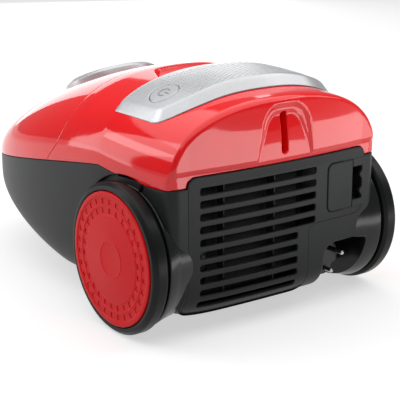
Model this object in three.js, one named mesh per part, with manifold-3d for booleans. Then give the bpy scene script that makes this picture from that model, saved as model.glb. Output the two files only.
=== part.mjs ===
// Canister vacuum cleaner with a parked hose ring, a carry handle bar and a rewinding mains cord.
// Millimetres, +Z up, nose towards -Y, exhaust grille towards +Y. The origin is on the floor, under the
// middle of the whole machine. Every node is a separate moulded, turned or pressed piece.
import * as THREE from "three";
import { mergeVertices } from "three/addons/utils/BufferGeometryUtils.js";
import Module from "manifold-3d";

// ---------- driving dimensions ----------
const LENGTH = 400; // nose to the back of the rear wheels
const BODY_WIDTH = 238; // moulded body, without the wheels
const TRACK_WIDTH = 265; // over the outer faces of the rear wheels
const WHEEL_RADIUS = 65;
const CREST_Z = 201.5; // highest line of the moulded body
const BELLY_Z = 17; // ground clearance
const NOSE_Z = 80; // height of the nose tip
const REAR_OVERHANG = 56; // body's rear face behind the rear axle
const WALL = 3; // black base moulding
const SKIN = 2.6; // red upper mouldings
const SEAM_GAP = 0.5; // between neighbouring mouldings
const SEAT_GAP = 0.3; // between pieces that rest on each other
const RUNNING_GAP = 0.5; // between a moving piece and its bearing

// ---------- places that follow from them ----------
const NOSE_Y = -LENGTH / 2;
const AXLE_Y = LENGTH / 2 - WHEEL_RADIUS;
const REAR_Y = AXLE_Y + REAR_OVERHANG;
const WIDEST_Y = AXLE_Y - 60;
const CREST_Y = AXLE_Y - 89;
const KEEL_Y = AXLE_Y - 115; // the belly is level behind this line

// ---------- moulded body form ----------
const UPPER_POWER = 2.4; // squareness of the red section
const LOWER_POWER = 7; // squareness of the black section
const NOSE_PLAN = [2.9, 0.45]; // powers of the rounding towards the nose, in plan
const NOSE_RISE = [1.4, 0.72]; // and along the crest
const REAR_HALF_WIDTH = BODY_WIDTH / 2 - 8.5;
const REAR_CREST_Z = CREST_Z - 5;
const REAR_CROWN = 4; // bulge of the rear face
const HOOD_BULGE = 3; // more bulge in the middle of its red part
const CREASE_RADIUS = 4; // rear edge of the red section
const CREASE_START = 0.25; // the crease is tight above this angle round the section
const CORNER_RADIUS = 17.5; // rear corners of the black section
const HEEL_RADIUS = 30; // rear edge of the belly
const SEAM_PEAK_Y = AXLE_Y - 40;
const SEAM_PEAK_Z = 135.5;
const SEAM_DIP = 5;
const SEAM_DIP_RUN = 130;

// ---------- wheels ----------
const TREAD_WIDTH = 14.5;
const WHEEL_OUTER_X = TRACK_WIDTH / 2 - 0.9;
const WHEEL_INNER_X = WHEEL_OUTER_X - TREAD_WIDTH + 0.9;
const HUB_DISC_RADIUS = 57.5;
const AXLE_RADIUS = 5;
const DRUM_RADIUS = 58.5; // fixed drum behind each wheel
const DRUM_GAP = 2.5; // drum end to wheel
const DRUM_INNER_X = 93;
const ARCH_RADIUS = WHEEL_RADIUS + 4.5;
const ARCH_DEPTH_GAP = 4; // arch floor behind the wheel's inner face

// ---------- lid, hood and inlet ----------
const LID_SEAM_Y = AXLE_Y - 102; // lid's rear edge on top
const LID_SEAM_BEND_Z = CREST_Z - 36; // below this the lid's edge sweeps forward
const LID_SEAM_FOOT_Y = LID_SEAM_Y - 24.5;
const LID_HINGE_DEPTH = 4.6; // hinge axis below the crest at the seam
const LID_OPEN = 60; // degrees the lid swings
const LID_EAR_X = [9, 18];
const HOOD_EAR_X = [18.5, 25];
const HINGE_PIN_RADIUS = 1.1;
const HINGE_EAR_RADIUS = 2.4;
const LATCH_HALF_WIDTH = 24;
const LATCH_TOP_Y = NOSE_Y + 32;
const LATCH_GAP = 1.2;
const LATCH_DEPTH = 6.3; // pivot below the surface
const LATCH_EAR_X = 9;
const LATCH_LUG_X = 15;
const CATCH_Y = NOSE_Y + 31;
const CATCH_Z = 80.5;
const INLET_Y = NOSE_Y + 130;
const INLET_TILT = 25; // degrees, towards the nose
const RING_RADIUS = 45.5;
const RING_HEIGHT = 4.8;
const RING_BEVEL = 3.2;
const RING_BORE = 37;
const PORT_RADIUS = 20; // hose spigot bore
const PORT_WALL = 2.4;
const PORT_DEPTH = 32;
const PORT_LAND = 3; // flat seat round the bore for the hose coupling
const PORT_LAND_HEIGHT = 3.5;

// ---------- handle and buttons ----------
const HANDLE_HALF_LENGTH = 99; // at the front corners
const HANDLE_TAPER = 6; // the ends draw in by this towards the rear
const HANDLE_FRONT_Y = AXLE_Y - 44;
const HANDLE_REAR_Y = AXLE_Y + 30;
const HANDLE_CORNER = { along: 41, across: 21, power: 1.8 }; // rear corners in plan
const HANDLE_FLANK = 5.5; // inward lean of the flanks
const HANDLE_FRONT_RISE = [7.5, 4]; // top above the body along the front, in the middle and at the ends
const HANDLE_REAR_RISE = [10, 5.5];
const HANDLE_SINK = 0.8; // the flanks run out below the body's surface
const HANDLE_ROOT = 12; // depth of the form that the body then trims
const WELL_HALF_WIDTH = 51; // under the handle
const WELL_MOUTH_HALF = 37; // at its front corners
const WELL_MOUTH_Y = AXLE_Y - 74;
const WELL_FRONT_Y = AXLE_Y - 88; // middle of its bowed front edge
const WELL_REAR_Y = AXLE_Y - 12;
const WELL_FLOOR_Z = CREST_Z - 29.5;
const BUTTON_X = 72;
const BUTTON_Y = AXLE_Y - 9;
const BUTTON_RADIUS = 12.5;
const BUTTON_TRAVEL = 2;
const STEM_RADIUS = 3;
const SPRING_RADIUS = 4.6;
const SPRING_WIRE = 0.45;
const SWITCH_TOP_Z = CREST_Z - 33.5;
const SPRING_TOP_Z = SWITCH_TOP_Z + 10;
const BUTTON_LIFT = 3.2; // cap's underside above the hood

// ---------- exhaust grille ----------
const PANEL_HALF_WIDTH = 93;
const PANEL_TOP_Z = 140;
const PANEL_FOOT_Z = 22;
const PANEL_STEP_Z = 80; // right half ends here, above the cord outlet
const PANEL_STEP_X = -34;
const PANEL_CORNER = 8;
const PANEL_CORNER_EASE = 6; // the opening's corners are tighter, so the hinged edge clears them
const PANEL_EDGE_EASE = 2.6; // the free edge swings sideways a little, so its gap is wider
const SLOT_COUNT = 10;
const SLOT_PITCH = 10.9;
const SLOT_HEIGHT = 5;
const SLOT_TOP_Z = 127.2;
const SLOT_LEFT_X = 81;
const LONG_SLOT_RIGHT_X = -40.3;
const SHORT_SLOT_RIGHT_X = -20.7;
const LONG_SLOTS = 5;
const RIB_XS = [57, 5];
const TAB = { left: -54, right: -83.5, foot: 86, top: 128, corner: 5 };
const TAB_WINDOW = { right: -95.5, foot: 92, top: 121 };
const TAB_POCKET = 2.2; // depth of the pocket that the latch tab lies in

// ---------- cord outlet, plug and reel ----------
const OUTLET = { left: -49, right: -110, top: 59, front: AXLE_Y - 11, corner: 14 };
const PLUG_X = -70;
const PLUG_Z = 37;
const PLUG_RADIUS = 17;
const PLUG_FRONT_Y = AXLE_Y + 36;
const PLUG_LENGTH = 33;
const PIN_SPACING = 19;
const PIN_LENGTH = 19;
const PIN_RADIUS = 2.3;
const PIN_TILT = -49; // degrees, line through both pins
const GLAND_RADIUS = 7;
const CORD_RADIUS = 3.2;
const REEL_RADIUS = 40;
const REEL_WIDTH = 42;
const REEL_HUB_RADIUS = 13;
const WINDING_RADIUS = 36;
const REEL_Y = AXLE_Y - 55;
const REEL_Z = PLUG_Z + CORD_RADIUS + WINDING_RADIUS + SEAT_GAP;
const REEL_AXLE_RADIUS = 4;

// ---------- suction unit ----------
const BULKHEAD_Y = AXLE_Y - 98;
const BULKHEAD_THICKNESS = 3;
const MOTOR_X = 30;
const MOTOR_Z = 86;
const CAN_RADIUS = 50;
const CAN_FRONT_Y = AXLE_Y - 83;
const CAN_LENGTH = 34;
const STATOR_RADIUS = 38;
const STATOR_LENGTH = 58;
const SHAFT_RADIUS = 4;
const TAIL_RADIUS = 12;
const MOUNT_RADIUS = 19;
const PARTITION_TOP_Z = 118; // wall between the motor and the cord reel
const MOTOR_END_Y = CAN_FRONT_Y + CAN_LENGTH + STATOR_LENGTH + 4;

// ---------- front caster ----------
const CASTER_Y = NOSE_Y + 92;
const CASTER_RADIUS = 16;
const CASTER_WIDTH = 15;
const CASTER_TRAIL = 13;
const CASTER_STEM_RADIUS = 5;
const CASTER_AXLE_RADIUS = 2;
const CASTER_PLATE_Z = 2 * CASTER_RADIUS + 3.5;
const CASTER_PLATE = 3;
const CASTER_BOSS_Z = CASTER_PLATE_Z + CASTER_PLATE + RUNNING_GAP;
const CASTER_BOSS_RADIUS = 13;
const CASTER_STEM_TOP = 52;

// ---------- dust bag and filters ----------
const BAG = { y: NOSE_Y + 145, z: 83, halfWidth: 80, halfLength: 68, halfHeight: 26 };
const BAG_PLATE = { halfWidth: 50, halfLength: 44, thickness: 2.5, depth: 36, bore: 21 };
const HOLDER = { rim: 6, thickness: 5, legX: 84, leg: 4, legHalf: 12 };
const FILTER_RADIUS = 40; // round window in the bulkhead
const FILTER_DEPTH = 14;
const EXHAUST_Y = REAR_Y - 11; // rear face of the exhaust filter
const EXHAUST = { left: 84, right: PANEL_STEP_X - 0.5, foot: 36, top: 131, depth: 14, frame: 5 };

// ---------- hose parking recess ----------
const PARK = { x: -2.5, foot: 142.5, top: 191, footHalf: 30, headHalf: 24, footDepth: 2.5, headDepth: 6.5 };
const PARK_SLOT = { half: 4.2, foot: 147, top: 184 };

// ---------- materials ----------
function finish(color, roughness, metalness = 0) {
  return new THREE.MeshStandardMaterial({ color, roughness, metalness });
}
const glossRed = () => finish(0xd8141c, 0.12);
const hubRed = () => finish(0xc9282c, 0.35);
const blackPlastic = () => finish(0x333434, 0.5);
const blackRubber = () => finish(0x1b1c1c, 0.8);
const greyPlastic = () => finish(0x8a8d90, 0.45);
const silverPaint = () => finish(0xc4c7ca, 0.3, 0.6);
const steel = () => finish(0xb8bbbe, 0.3, 1);
const blackFoam = () => finish(0x141414, 0.95);
const paper = () => finish(0xd9d3c6, 0.9);
const card = () => finish(0xb79a6d, 0.85);

const wasm = await Module();
wasm.setup();

// ---------- solids ----------
function signedVolume(positions, index) {
  const corner = [new THREE.Vector3(), new THREE.Vector3(), new THREE.Vector3()];
  let total = 0;
  for (let i = 0; i < index.length; i += 3) {
    corner.forEach((v, k) => v.fromArray(positions, 3 * index[i + k]));
    total += corner[0].dot(corner[1].clone().cross(corner[2]));
  }
  return total / 6;
}

// A closed three.js geometry as a solid that faces outwards, whichever way its outline ran.
function solid(geometry) {
  geometry.deleteAttribute("normal");
  geometry.deleteAttribute("uv");
  const merged = mergeVertices(geometry, 1e-4);
  const triVerts = new Uint32Array(merged.index.array);
  const vertProperties = new Float32Array(merged.attributes.position.array);
  if (signedVolume(vertProperties, triVerts) < 0) triVerts.reverse();
  return new wasm.Manifold(new wasm.Mesh({ numProp: 3, vertProperties, triVerts }));
}

const join = (first, ...others) => others.reduce((a, b) => a.add(b), first);
const cut = (first, ...others) => others.reduce((a, b) => a.subtract(b), first);
const common = (first, ...others) => others.reduce((a, b) => a.intersect(b), first);

function box(x0, x1, y0, y1, z0, z1) {
  const block = new THREE.BoxGeometry(Math.abs(x1 - x0), Math.abs(y1 - y0), Math.abs(z1 - z0));
  return solid(block.translate((x0 + x1) / 2, (y0 + y1) / 2, (z0 + z1) / 2));
}

// Turns a geometry built along +Y so that it lies along the named axis, at a place.
function along(geometry, axis, [x, y, z]) {
  if (axis === "x") geometry.rotateZ(-Math.PI / 2);
  if (axis === "z") geometry.rotateX(Math.PI / 2);
  return geometry.translate(x, y, z);
}

function rod(radius, length, axis, start, sides = 16) {
  const cylinder = new THREE.CylinderGeometry(radius, radius, length, sides);
  return solid(along(cylinder.translate(0, length / 2, 0), axis, start));
}

// Revolved solid: the outline is [radius, distance along the axis] pairs and closes by itself.
function turned(outline, axis, start, sides = 24) {
  const points = outline.map(([r, a]) => new THREE.Vector2(r, a));
  const onAxis = outline[0][0] === 0 && outline.at(-1)[0] === 0;
  if (!onAxis) points.push(points[0].clone());
  return solid(along(new THREE.LatheGeometry(points, sides), axis, start));
}

function outlineShape(points) {
  return new THREE.Shape(points.map(([a, b]) => new THREE.Vector2(a, b)));
}

// Prisms of an outline: [y, z] pairs swept along X, or [x, z] pairs swept along Y.
function prismAlongX(points, x0, x1) {
  const slab = new THREE.ExtrudeGeometry(outlineShape(points), { depth: x1 - x0, bevelEnabled: false });
  const turn = new THREE.Matrix4().makeBasis(
    new THREE.Vector3(0, 1, 0),
    new THREE.Vector3(0, 0, 1),
    new THREE.Vector3(1, 0, 0),
  );
  return solid(slab.applyMatrix4(turn).translate(x0, 0, 0));
}

function prismAlongY(shape, y0, y1, curveSegments = 4) {
  const slab = new THREE.ExtrudeGeometry(shape, { depth: y1 - y0, bevelEnabled: false, curveSegments });
  return solid(slab.rotateX(Math.PI / 2).translate(0, y1, 0));
}

function prismAlongZ(shape, z0, z1, curveSegments = 3) {
  const slab = new THREE.ExtrudeGeometry(shape, { depth: z1 - z0, bevelEnabled: false, curveSegments });
  return solid(slab.translate(0, 0, z0));
}

// Rectangle with rounded corners; each corner takes its own radius, from lower left, clockwise.
function roundedRect(x0, x1, z0, z1, radii) {
  const [a, b, c, d] = Array.isArray(radii) ? radii : [radii, radii, radii, radii];
  const shape = new THREE.Shape();
  shape.moveTo(x0 + a, z0);
  shape.lineTo(x1 - d, z0);
  if (d) shape.absarc(x1 - d, z0 + d, d, -Math.PI / 2, 0);
  shape.lineTo(x1, z1 - c);
  if (c) shape.absarc(x1 - c, z1 - c, c, 0, Math.PI / 2);
  shape.lineTo(x0 + b, z1);
  if (b) shape.absarc(x0 + b, z1 - b, b, Math.PI / 2, Math.PI);
  shape.lineTo(x0, z0 + a);
  if (a) shape.absarc(x0 + a, z0 + a, a, Math.PI, 1.5 * Math.PI);
  return shape;
}

// Skin over a row of rings that have the same number of points.
function skinOver(rings) {
  const size = rings[0].length;
  const points = rings.flat();
  const index = [];
  for (let i = 0; i + 1 < rings.length; i += 1) {
    for (let k = 0; k < size; k += 1) {
      const a = i * size + k;
      const b = i * size + ((k + 1) % size);
      index.push(a, b, a + size, b, b + size, a + size);
    }
  }
  return { points, index, size };
}

function closeWithFan({ points, index, size }, first, forward, tip) {
  const ring = points.slice(first, first + size);
  const centre = ring.reduce((sum, p) => sum.add(p), new THREE.Vector3()).divideScalar(size);
  points.push(tip ?? centre);
  for (let k = 0; k < size; k += 1) {
    const pair = [first + k, first + ((k + 1) % size)];
    index.push(...(forward ? pair : pair.reverse()), points.length - 1);
  }
}

function skinSolid({ points, index }) {
  const geometry = new THREE.BufferGeometry();
  geometry.setAttribute("position", new THREE.Float32BufferAttribute(points.flatMap((p) => p.toArray()), 3));
  geometry.setIndex(index);
  return solid(geometry);
}

function loft(rings) {
  const skin = skinOver(rings);
  closeWithFan(skin, 0, false);
  closeWithFan(skin, (rings.length - 1) * skin.size, true);
  return skinSolid(skin);
}

const clamp01 = (t) => Math.min(1, Math.max(0, t));
const smooth = (t) => clamp01(t) ** 2 * (3 - 2 * clamp01(t));
const mix = (a, b, t) => a + (b - a) * t;
const radians = THREE.MathUtils.degToRad;

// ---------- body form: one section for each station along Y ----------
// Half width, and the heights of the seam, the crest and the belly. The inset moves the form inwards.
function station(y, inset = 0) {
  const noseRun = WIDEST_Y - NOSE_Y;
  const ahead = clamp01((WIDEST_Y - y) / (noseRun - inset));
  const behind = clamp01((y - WIDEST_Y) / (REAR_Y - WIDEST_Y));
  const front = (BODY_WIDTH / 2 - inset) * (1 - ahead ** NOSE_PLAN[0]) ** NOSE_PLAN[1];
  const rear = mix(BODY_WIDTH / 2, REAR_HALF_WIDTH, behind ** 2) - inset;
  const seam = seamHeight(y);
  const rise = clamp01((CREST_Y - y) / (CREST_Y - NOSE_Y - inset));
  const fall = clamp01((y - CREST_Y) / (REAR_Y - CREST_Y));
  const crestFront = NOSE_Z + (CREST_Z - NOSE_Z - inset) * (1 - rise ** NOSE_RISE[0]) ** NOSE_RISE[1];
  const crestRear = mix(CREST_Z, REAR_CREST_Z, fall ** 2) - inset;
  const keel = clamp01((KEEL_Y - y) / (KEEL_Y - NOSE_Y - inset));
  return {
    half: y < WIDEST_Y ? front : rear,
    seam,
    crest: Math.max(seam + 0.5, y < CREST_Y ? crestFront : crestRear),
    belly: Math.min(seam - 0.5, BELLY_Z + inset + (NOSE_Z - BELLY_Z - inset) * keel ** 1.35),
  };
}

// Height of the red and black parting line: it climbs from the nose and dips over the wheels.
function seamHeight(y) {
  const climb = clamp01((SEAM_PEAK_Y - y) / (SEAM_PEAK_Y - NOSE_Y)) ** 1.08;
  const dip = Math.sin(Math.PI * clamp01((y - SEAM_PEAK_Y) / SEAM_DIP_RUN));
  return mix(SEAM_PEAK_Z, NOSE_Z + 2, climb) - SEAM_DIP * dip;
}

function signedPower(value, power) {
  return Math.sign(value) * Math.abs(value) ** power;
}

// Point of the form at an angle round the section: 0 at the right seam, a quarter turn at the crest.
function formPoint(y, angle, inset = 0) {
  const s = station(y, inset);
  const power = 2 / (Math.sin(angle) >= 0 ? UPPER_POWER : LOWER_POWER);
  const reach = Math.sin(angle) >= 0 ? s.crest - s.seam : s.seam - s.belly;
  return new THREE.Vector3(
    s.half * signedPower(Math.cos(angle), power),
    y,
    s.seam + reach * signedPower(Math.sin(angle), power),
  );
}

// Height of the red surface over a point of the plan.
function topHeight(x, y, inset = 0) {
  const s = station(y, inset);
  const across = clamp01(Math.abs(x) / s.half);
  return s.seam + (s.crest - s.seam) * (1 - across ** UPPER_POWER) ** (1 / UPPER_POWER);
}

// Rounded rear edge: tight over the red section, wide at the corners and the heel of the black one.
function rearRadii(angle, inset) {
  const up = Math.sin(angle);
  const least = 1;
  const corner = Math.max(least, CORNER_RADIUS - inset);
  const crease = Math.max(least, CREASE_RADIUS - inset);
  const heel = Math.max(least, HEEL_RADIUS - inset);
  if (up >= 0) {
    const side = mix(corner, crease, smooth(Math.min(angle, Math.PI - angle) / CREASE_START));
    return { side, height: crease, depth: side };
  }
  return { side: corner, height: heel, depth: mix(corner, heel, smooth(-up * 1.4)) };
}

function rearEdgePoint(angle, turn, inset) {
  const radii = rearRadii(angle, inset);
  const y = REAR_Y - inset - radii.depth * (1 - Math.sin(turn));
  const s = station(y, inset);
  const p = formPoint(y, angle, inset);
  const shrink = 1 - Math.cos(turn);
  const reach = Math.sin(angle) >= 0 ? s.crest - s.seam : s.seam - s.belly;
  p.x *= 1 - (radii.side * shrink) / s.half;
  p.z = s.seam + (p.z - s.seam) * (1 - (radii.height * shrink) / reach);
  return crowned(p, Math.sin(turn));
}

function crowned(p, share) {
  const across = Math.max(0, 1 - (p.x / PANEL_HALF_WIDTH) ** 2);
  const seam = seamHeight(REAR_Y);
  const up = clamp01((p.z - seam) / (REAR_CREST_Z - seam));
  p.y += share * across * (REAR_CROWN + HOOD_BULGE * Math.sin(Math.PI * up));
  return p;
}

function sectionAngles(upper, lower) {
  const angles = [];
  for (let k = 0; k < upper; k += 1) angles.push((k / upper) * Math.PI);
  for (let k = 0; k < lower; k += 1) angles.push((1 + k / lower) * Math.PI);
  return angles;
}

// Stations from the nose to the widest section, closer together at the nose, then back to the heel.
function stationRow(inset, ahead, behind) {
  const ys = [];
  for (let i = 0; i <= ahead; i += 1) {
    const t = 1 - Math.sin((i / ahead) * (Math.PI / 2));
    ys.push(mix(WIDEST_Y, NOSE_Y + inset + 0.4, t ** 0.62));
  }
  const lastY = REAR_Y - inset - HEEL_RADIUS - 1;
  for (let i = 1; i <= behind; i += 1) ys.push(mix(WIDEST_Y, lastY, i / behind));
  return ys;
}

// The whole body as one solid, inset by a wall or lifted by a clearance.
function form(settings = {}) {
  const { inset = 0, lift = 0, upper = 18, lower = 12 } = settings;
  const { ahead = 9, behind = 2, round = 3, columns = 4 } = settings;
  const angles = sectionAngles(upper, lower);
  const rings = stationRow(inset, ahead, behind).map((y) => angles.map((a) => formPoint(y, a, inset)));
  for (let i = 0; i <= round; i += 1) {
    const turn = (i / round) * (Math.PI / 2);
    rings.push(angles.map((a) => rearEdgePoint(a, turn, inset)));
  }
  const skin = skinOver(rings);
  closeWithFan(skin, 0, false, new THREE.Vector3(0, NOSE_Y + inset, NOSE_Z + 1));
  closeRearFace(skin, (rings.length - 1) * skin.size, { upper, lower, columns, inset });
  skin.points.forEach((p) => p.setZ(p.z + lift));
  return skinSolid(skin);
}

// The crowned rear face, in level rows between the rim's left and right points.
function closeRearFace({ points, index, size }, first, { upper, lower, columns, inset }) {
  const rows = [];
  for (let j = 1; j < (upper + lower) / 2; j += 1) {
    const step = j <= upper / 2 ? j : j - upper / 2;
    const right = j <= upper / 2 ? upper / 2 - step : size - step;
    const left = j <= upper / 2 ? upper / 2 + step : upper + step;
    const row = [first + right];
    for (let c = 1; c < columns; c += 1) {
      const p = points[first + right].clone().lerp(points[first + left], c / columns);
      points.push(crowned(p.setY(REAR_Y - inset), 1));
      row.push(points.length - 1);
    }
    row.push(first + left);
    rows.push(row);
  }
  const [topPoint, footPoint] = [first + upper / 2, first + upper + lower / 2];
  for (let c = 0; c < columns; c += 1) {
    index.push(topPoint, rows[0][c + 1], rows[0][c]);
    index.push(footPoint, rows.at(-1)[c], rows.at(-1)[c + 1]);
  }
  for (let i = 0; i + 1 < rows.length; i += 1) {
    for (let c = 0; c < columns; c += 1) {
      const [a, b, d, e] = [rows[i][c], rows[i][c + 1], rows[i + 1][c], rows[i + 1][c + 1]];
      index.push(a, b, d, b, e, d);
    }
  }
}

const COARSE = { upper: 12, lower: 8, ahead: 6, behind: 1, round: 2, columns: 4 };

// ---------- cutters that part the mouldings ----------
// Everything below the parting line, lowered or raised by an offset.
function belowSeam(offset) {
  const points = [[NOSE_Y - 20, -10]];
  points.push([REAR_Y + 20, -10]);
  const steps = 14;
  for (let i = steps; i >= 0; i -= 1) {
    const y = mix(NOSE_Y - 20, REAR_Y + 20, i / steps);
    points.push([y, seamHeight(y) + offset]);
  }
  return prismAlongX(points, -TRACK_WIDTH, TRACK_WIDTH);
}

// Everything in front of the lid's rear edge: upright on top, sweeping forward at the sides.
function aheadOfLidSeam(offset) {
  const top = CREST_Z + 60;
  const points = [[LID_SEAM_Y + offset, top]];
  for (let i = 0; i <= 5; i += 1) {
    const t = i / 5;
    const sweep = (LID_SEAM_Y - LID_SEAM_FOOT_Y) * t ** 2;
    points.push([LID_SEAM_Y - sweep + offset, mix(LID_SEAM_BEND_Z, 124, t)]);
  }
  points.push([LID_SEAM_FOOT_Y - 22 + offset, 104]);
  points.push([NOSE_Y - 30, 104 - 60]);
  points.push([NOSE_Y - 30, top]);
  return prismAlongX(points, -TRACK_WIDTH, TRACK_WIDTH);
}

// ---------- wheel arches and drums ----------
function onBothSides(make) {
  return [1, -1].map(make);
}

function sideRod(side, radius, x0, x1, sides = 28) {
  const start = Math.min(side * x0, side * x1);
  return rod(radius, x1 - x0, "x", [start, AXLE_Y, WHEEL_RADIUS], sides);
}

const DRUM_OUTER_X = WHEEL_INNER_X - DRUM_GAP;
const ARCH_FLOOR_X = WHEEL_INNER_X - ARCH_DEPTH_GAP;

function outerBody() {
  const arches = onBothSides((s) => sideRod(s, ARCH_RADIUS, ARCH_FLOOR_X, TRACK_WIDTH));
  const drums = onBothSides((s) => sideRod(s, DRUM_RADIUS, DRUM_INNER_X, DRUM_OUTER_X));
  return join(cut(form(), ...arches), ...drums);
}

function innerBody() {
  const arches = onBothSides((s) => sideRod(s, ARCH_RADIUS + WALL, ARCH_FLOOR_X - WALL, TRACK_WIDTH, 20));
  const drums = onBothSides((s) => sideRod(s, DRUM_RADIUS - WALL, DRUM_INNER_X - 8, DRUM_OUTER_X - WALL, 20));
  return join(cut(form({ inset: WALL, ...COARSE }), ...arches), ...drums);
}

const bodyOutside = outerBody();
const baseInside = innerBody();

// ---------- exhaust grille outline ----------
// The cover reaches across the whole rear face above the step, and stops short of the cord outlet below.
function panelShape(grow) {
  const left = PANEL_HALF_WIDTH + grow;
  const top = PANEL_TOP_Z + grow;
  const foot = PANEL_FOOT_Z - grow;
  const step = PANEL_STEP_Z - grow;
  const inner = PANEL_STEP_X - grow * PANEL_EDGE_EASE;
  const r = PANEL_CORNER - grow * PANEL_CORNER_EASE;
  const shape = new THREE.Shape();
  shape.moveTo(left, foot);
  shape.lineTo(left, top - r);
  shape.absarc(left - r, top - r, r, 0, Math.PI / 2);
  shape.lineTo(-left + r, top);
  shape.absarc(-left + r, top - r, r, Math.PI / 2, Math.PI);
  shape.lineTo(-left, step);
  shape.lineTo(inner - PANEL_CORNER, step);
  shape.absarc(inner - PANEL_CORNER, step - PANEL_CORNER, PANEL_CORNER, Math.PI / 2, 0, true);
  shape.lineTo(inner + 2, PANEL_FOOT_Z + 26);
  shape.quadraticCurveTo(inner + 4, foot + 10, inner + 14, foot);
  return shape;
}

// ---------- cord outlet ----------
function outletShape(grow) {
  const { left, right, top, corner } = OUTLET;
  return roundedRect(right - grow, left + grow, -20, top + grow, [0, corner, corner, 0]);
}

// ---------- base housing ----------
function baseShell() {
  const rearOpening = prismAlongY(panelShape(SEAM_GAP), REAR_Y - HEEL_RADIUS - 10, REAR_Y + 20);
  const pocket = prismAlongY(outletShape(WALL), OUTLET.front - WALL, REAR_Y + 20);
  return join(cut(bodyOutside, baseInside, rearOpening), common(pocket, bodyOutside));
}

// Inner ribs and posts: compartment wall, motor stand, filter ribs, latch catch and axle bosses.
function baseFittings() {
  const inside = form({ inset: WALL - 0.5, ...COARSE });
  const wallX = EXHAUST.right - SEAT_GAP;
  const partition = box(wallX - 2, wallX, BULKHEAD_Y + 4, EXHAUST_Y, BELLY_Z, PARTITION_TOP_Z);
  const saddle = MOUNT_RADIUS + SEAT_GAP;
  const stand = cut(
    box(MOTOR_X - 36, MOTOR_X + 36, MOTOR_END_Y - 3, MOTOR_END_Y, BELLY_Z, MOTOR_Z + 4),
    motorRod(saddle, MOTOR_END_Y - 10, MOTOR_END_Y + 10),
    box(MOTOR_X - saddle, MOTOR_X + saddle, MOTOR_END_Y - 10, MOTOR_END_Y + 10, MOTOR_Z, MOTOR_Z + 30),
  );
  const frontY = EXHAUST_Y - EXHAUST.depth - SEAT_GAP;
  const heelY = REAR_Y - HEEL_RADIUS - 4;
  const bracket = [
    [MOTOR_END_Y - 1, BELLY_Z],
    [heelY, BELLY_Z],
    [heelY, PANEL_FOOT_Z + 4],
    [frontY - 2, PANEL_FOOT_Z + 10],
    [EXHAUST_Y - 6, EXHAUST.foot - SEAT_GAP - 2],
    [EXHAUST_Y - 6, EXHAUST.foot - SEAT_GAP],
    [frontY, EXHAUST.foot - SEAT_GAP],
    [frontY, EXHAUST.foot + 12],
    [MOTOR_END_Y - 1, EXHAUST.foot + 12],
  ];
  const ribs = [-12, 66].map((x) => prismAlongX(bracket, x - 1, x + 1));
  const catchPost = prismAlongX(
    [
      [CATCH_Y, BELLY_Z],
      [CATCH_Y, CATCH_Z - 2],
      [CATCH_Y - 3, CATCH_Z - 2],
      [CATCH_Y - 3, CATCH_Z],
      [CATCH_Y + 2.5, CATCH_Z],
      [CATCH_Y + 2.5, BELLY_Z],
    ],
    -7,
    7,
  );
  return [partition, stand, ...ribs, catchPost].map((piece) => common(piece, inside));
}

function baseHousing() {
  const bossHeight = CASTER_STEM_TOP + WALL - CASTER_BOSS_Z;
  const casterBoss = rod(CASTER_BOSS_RADIUS, bossHeight, "z", [0, CASTER_Y, CASTER_BOSS_Z], 18);
  const bosses = onBothSides((s) => sideRod(s, 11, DRUM_OUTER_X - 22, DRUM_OUTER_X - 1, 14));
  const shell = join(baseShell(), casterBoss, ...bosses, ...baseFittings());
  const outletSpace = prismAlongY(outletShape(0), OUTLET.front, REAR_Y + 20);
  const holeFoot = CASTER_STEM_TOP + RUNNING_GAP - 30;
  const stemHole = rod(CASTER_STEM_RADIUS + RUNNING_GAP, 30, "z", [0, CASTER_Y, holeFoot], 12);
  const axleHoles = onBothSides((s) =>
    sideRod(s, AXLE_RADIUS + SEAT_GAP, DRUM_OUTER_X - 18, DRUM_OUTER_X + 5, 14));
  const glandHole = rod(GLAND_RADIUS + SEAT_GAP, WALL + 4, "y", [PLUG_X, OUTLET.front - WALL - 2, PLUG_Z], 14);
  return common(cut(shell, outletSpace, stemHole, glandHole, ...axleHoles), belowSeam(-SEAM_GAP / 2));
}

// ---------- rear hood ----------
function parkShape(grow) {
  const { foot, top, footHalf, headHalf } = PARK;
  const shoulder = top - 14;
  const shape = new THREE.Shape();
  shape.moveTo(-footHalf - grow, foot - grow);
  shape.lineTo(footHalf + grow, foot - grow);
  shape.quadraticCurveTo(footHalf - 4 + grow, shoulder - 14, headHalf + grow, shoulder);
  shape.bezierCurveTo(headHalf - 4 + grow, top - 2 + grow, 12, top + grow, 0, top + grow);
  shape.bezierCurveTo(-12, top + grow, -headHalf + 4 - grow, top - 2 + grow, -headHalf - grow, shoulder);
  shape.quadraticCurveTo(-footHalf + 4 - grow, shoulder - 14, -footHalf - grow, foot - grow);
  return shape;
}

// The recess deepens upwards from its shallow foot, so that a hook slides in from below.
function parkWedge(behind) {
  const face = REAR_Y + REAR_CROWN - behind;
  const mouth = REAR_Y + REAR_CROWN + HOOD_BULGE + 6;
  return prismAlongX(
    [
      [mouth, PARK.foot - behind],
      [face - PARK.footDepth, PARK.foot - behind],
      [face - PARK.headDepth, PARK.top],
      [face - PARK.headDepth, PARK.top + 10],
      [mouth, PARK.top + 10],
    ],
    -60,
    60,
  );
}

function withParkRecess(hood) {
  const prism = (shape) => prismAlongY(shape, REAR_Y - 30, REAR_Y + 20).translate([PARK.x, 0, 0]);
  const backing = common(prism(parkShape(SKIN)), parkWedge(SKIN), bodyOutside);
  const hollow = common(prism(parkShape(0)), parkWedge(0));
  const { half, foot, top } = PARK_SLOT;
  const slot = prism(roundedRect(-half, half, foot, top, half - 0.1));
  return cut(join(hood, backing), hollow, slot);
}

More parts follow.
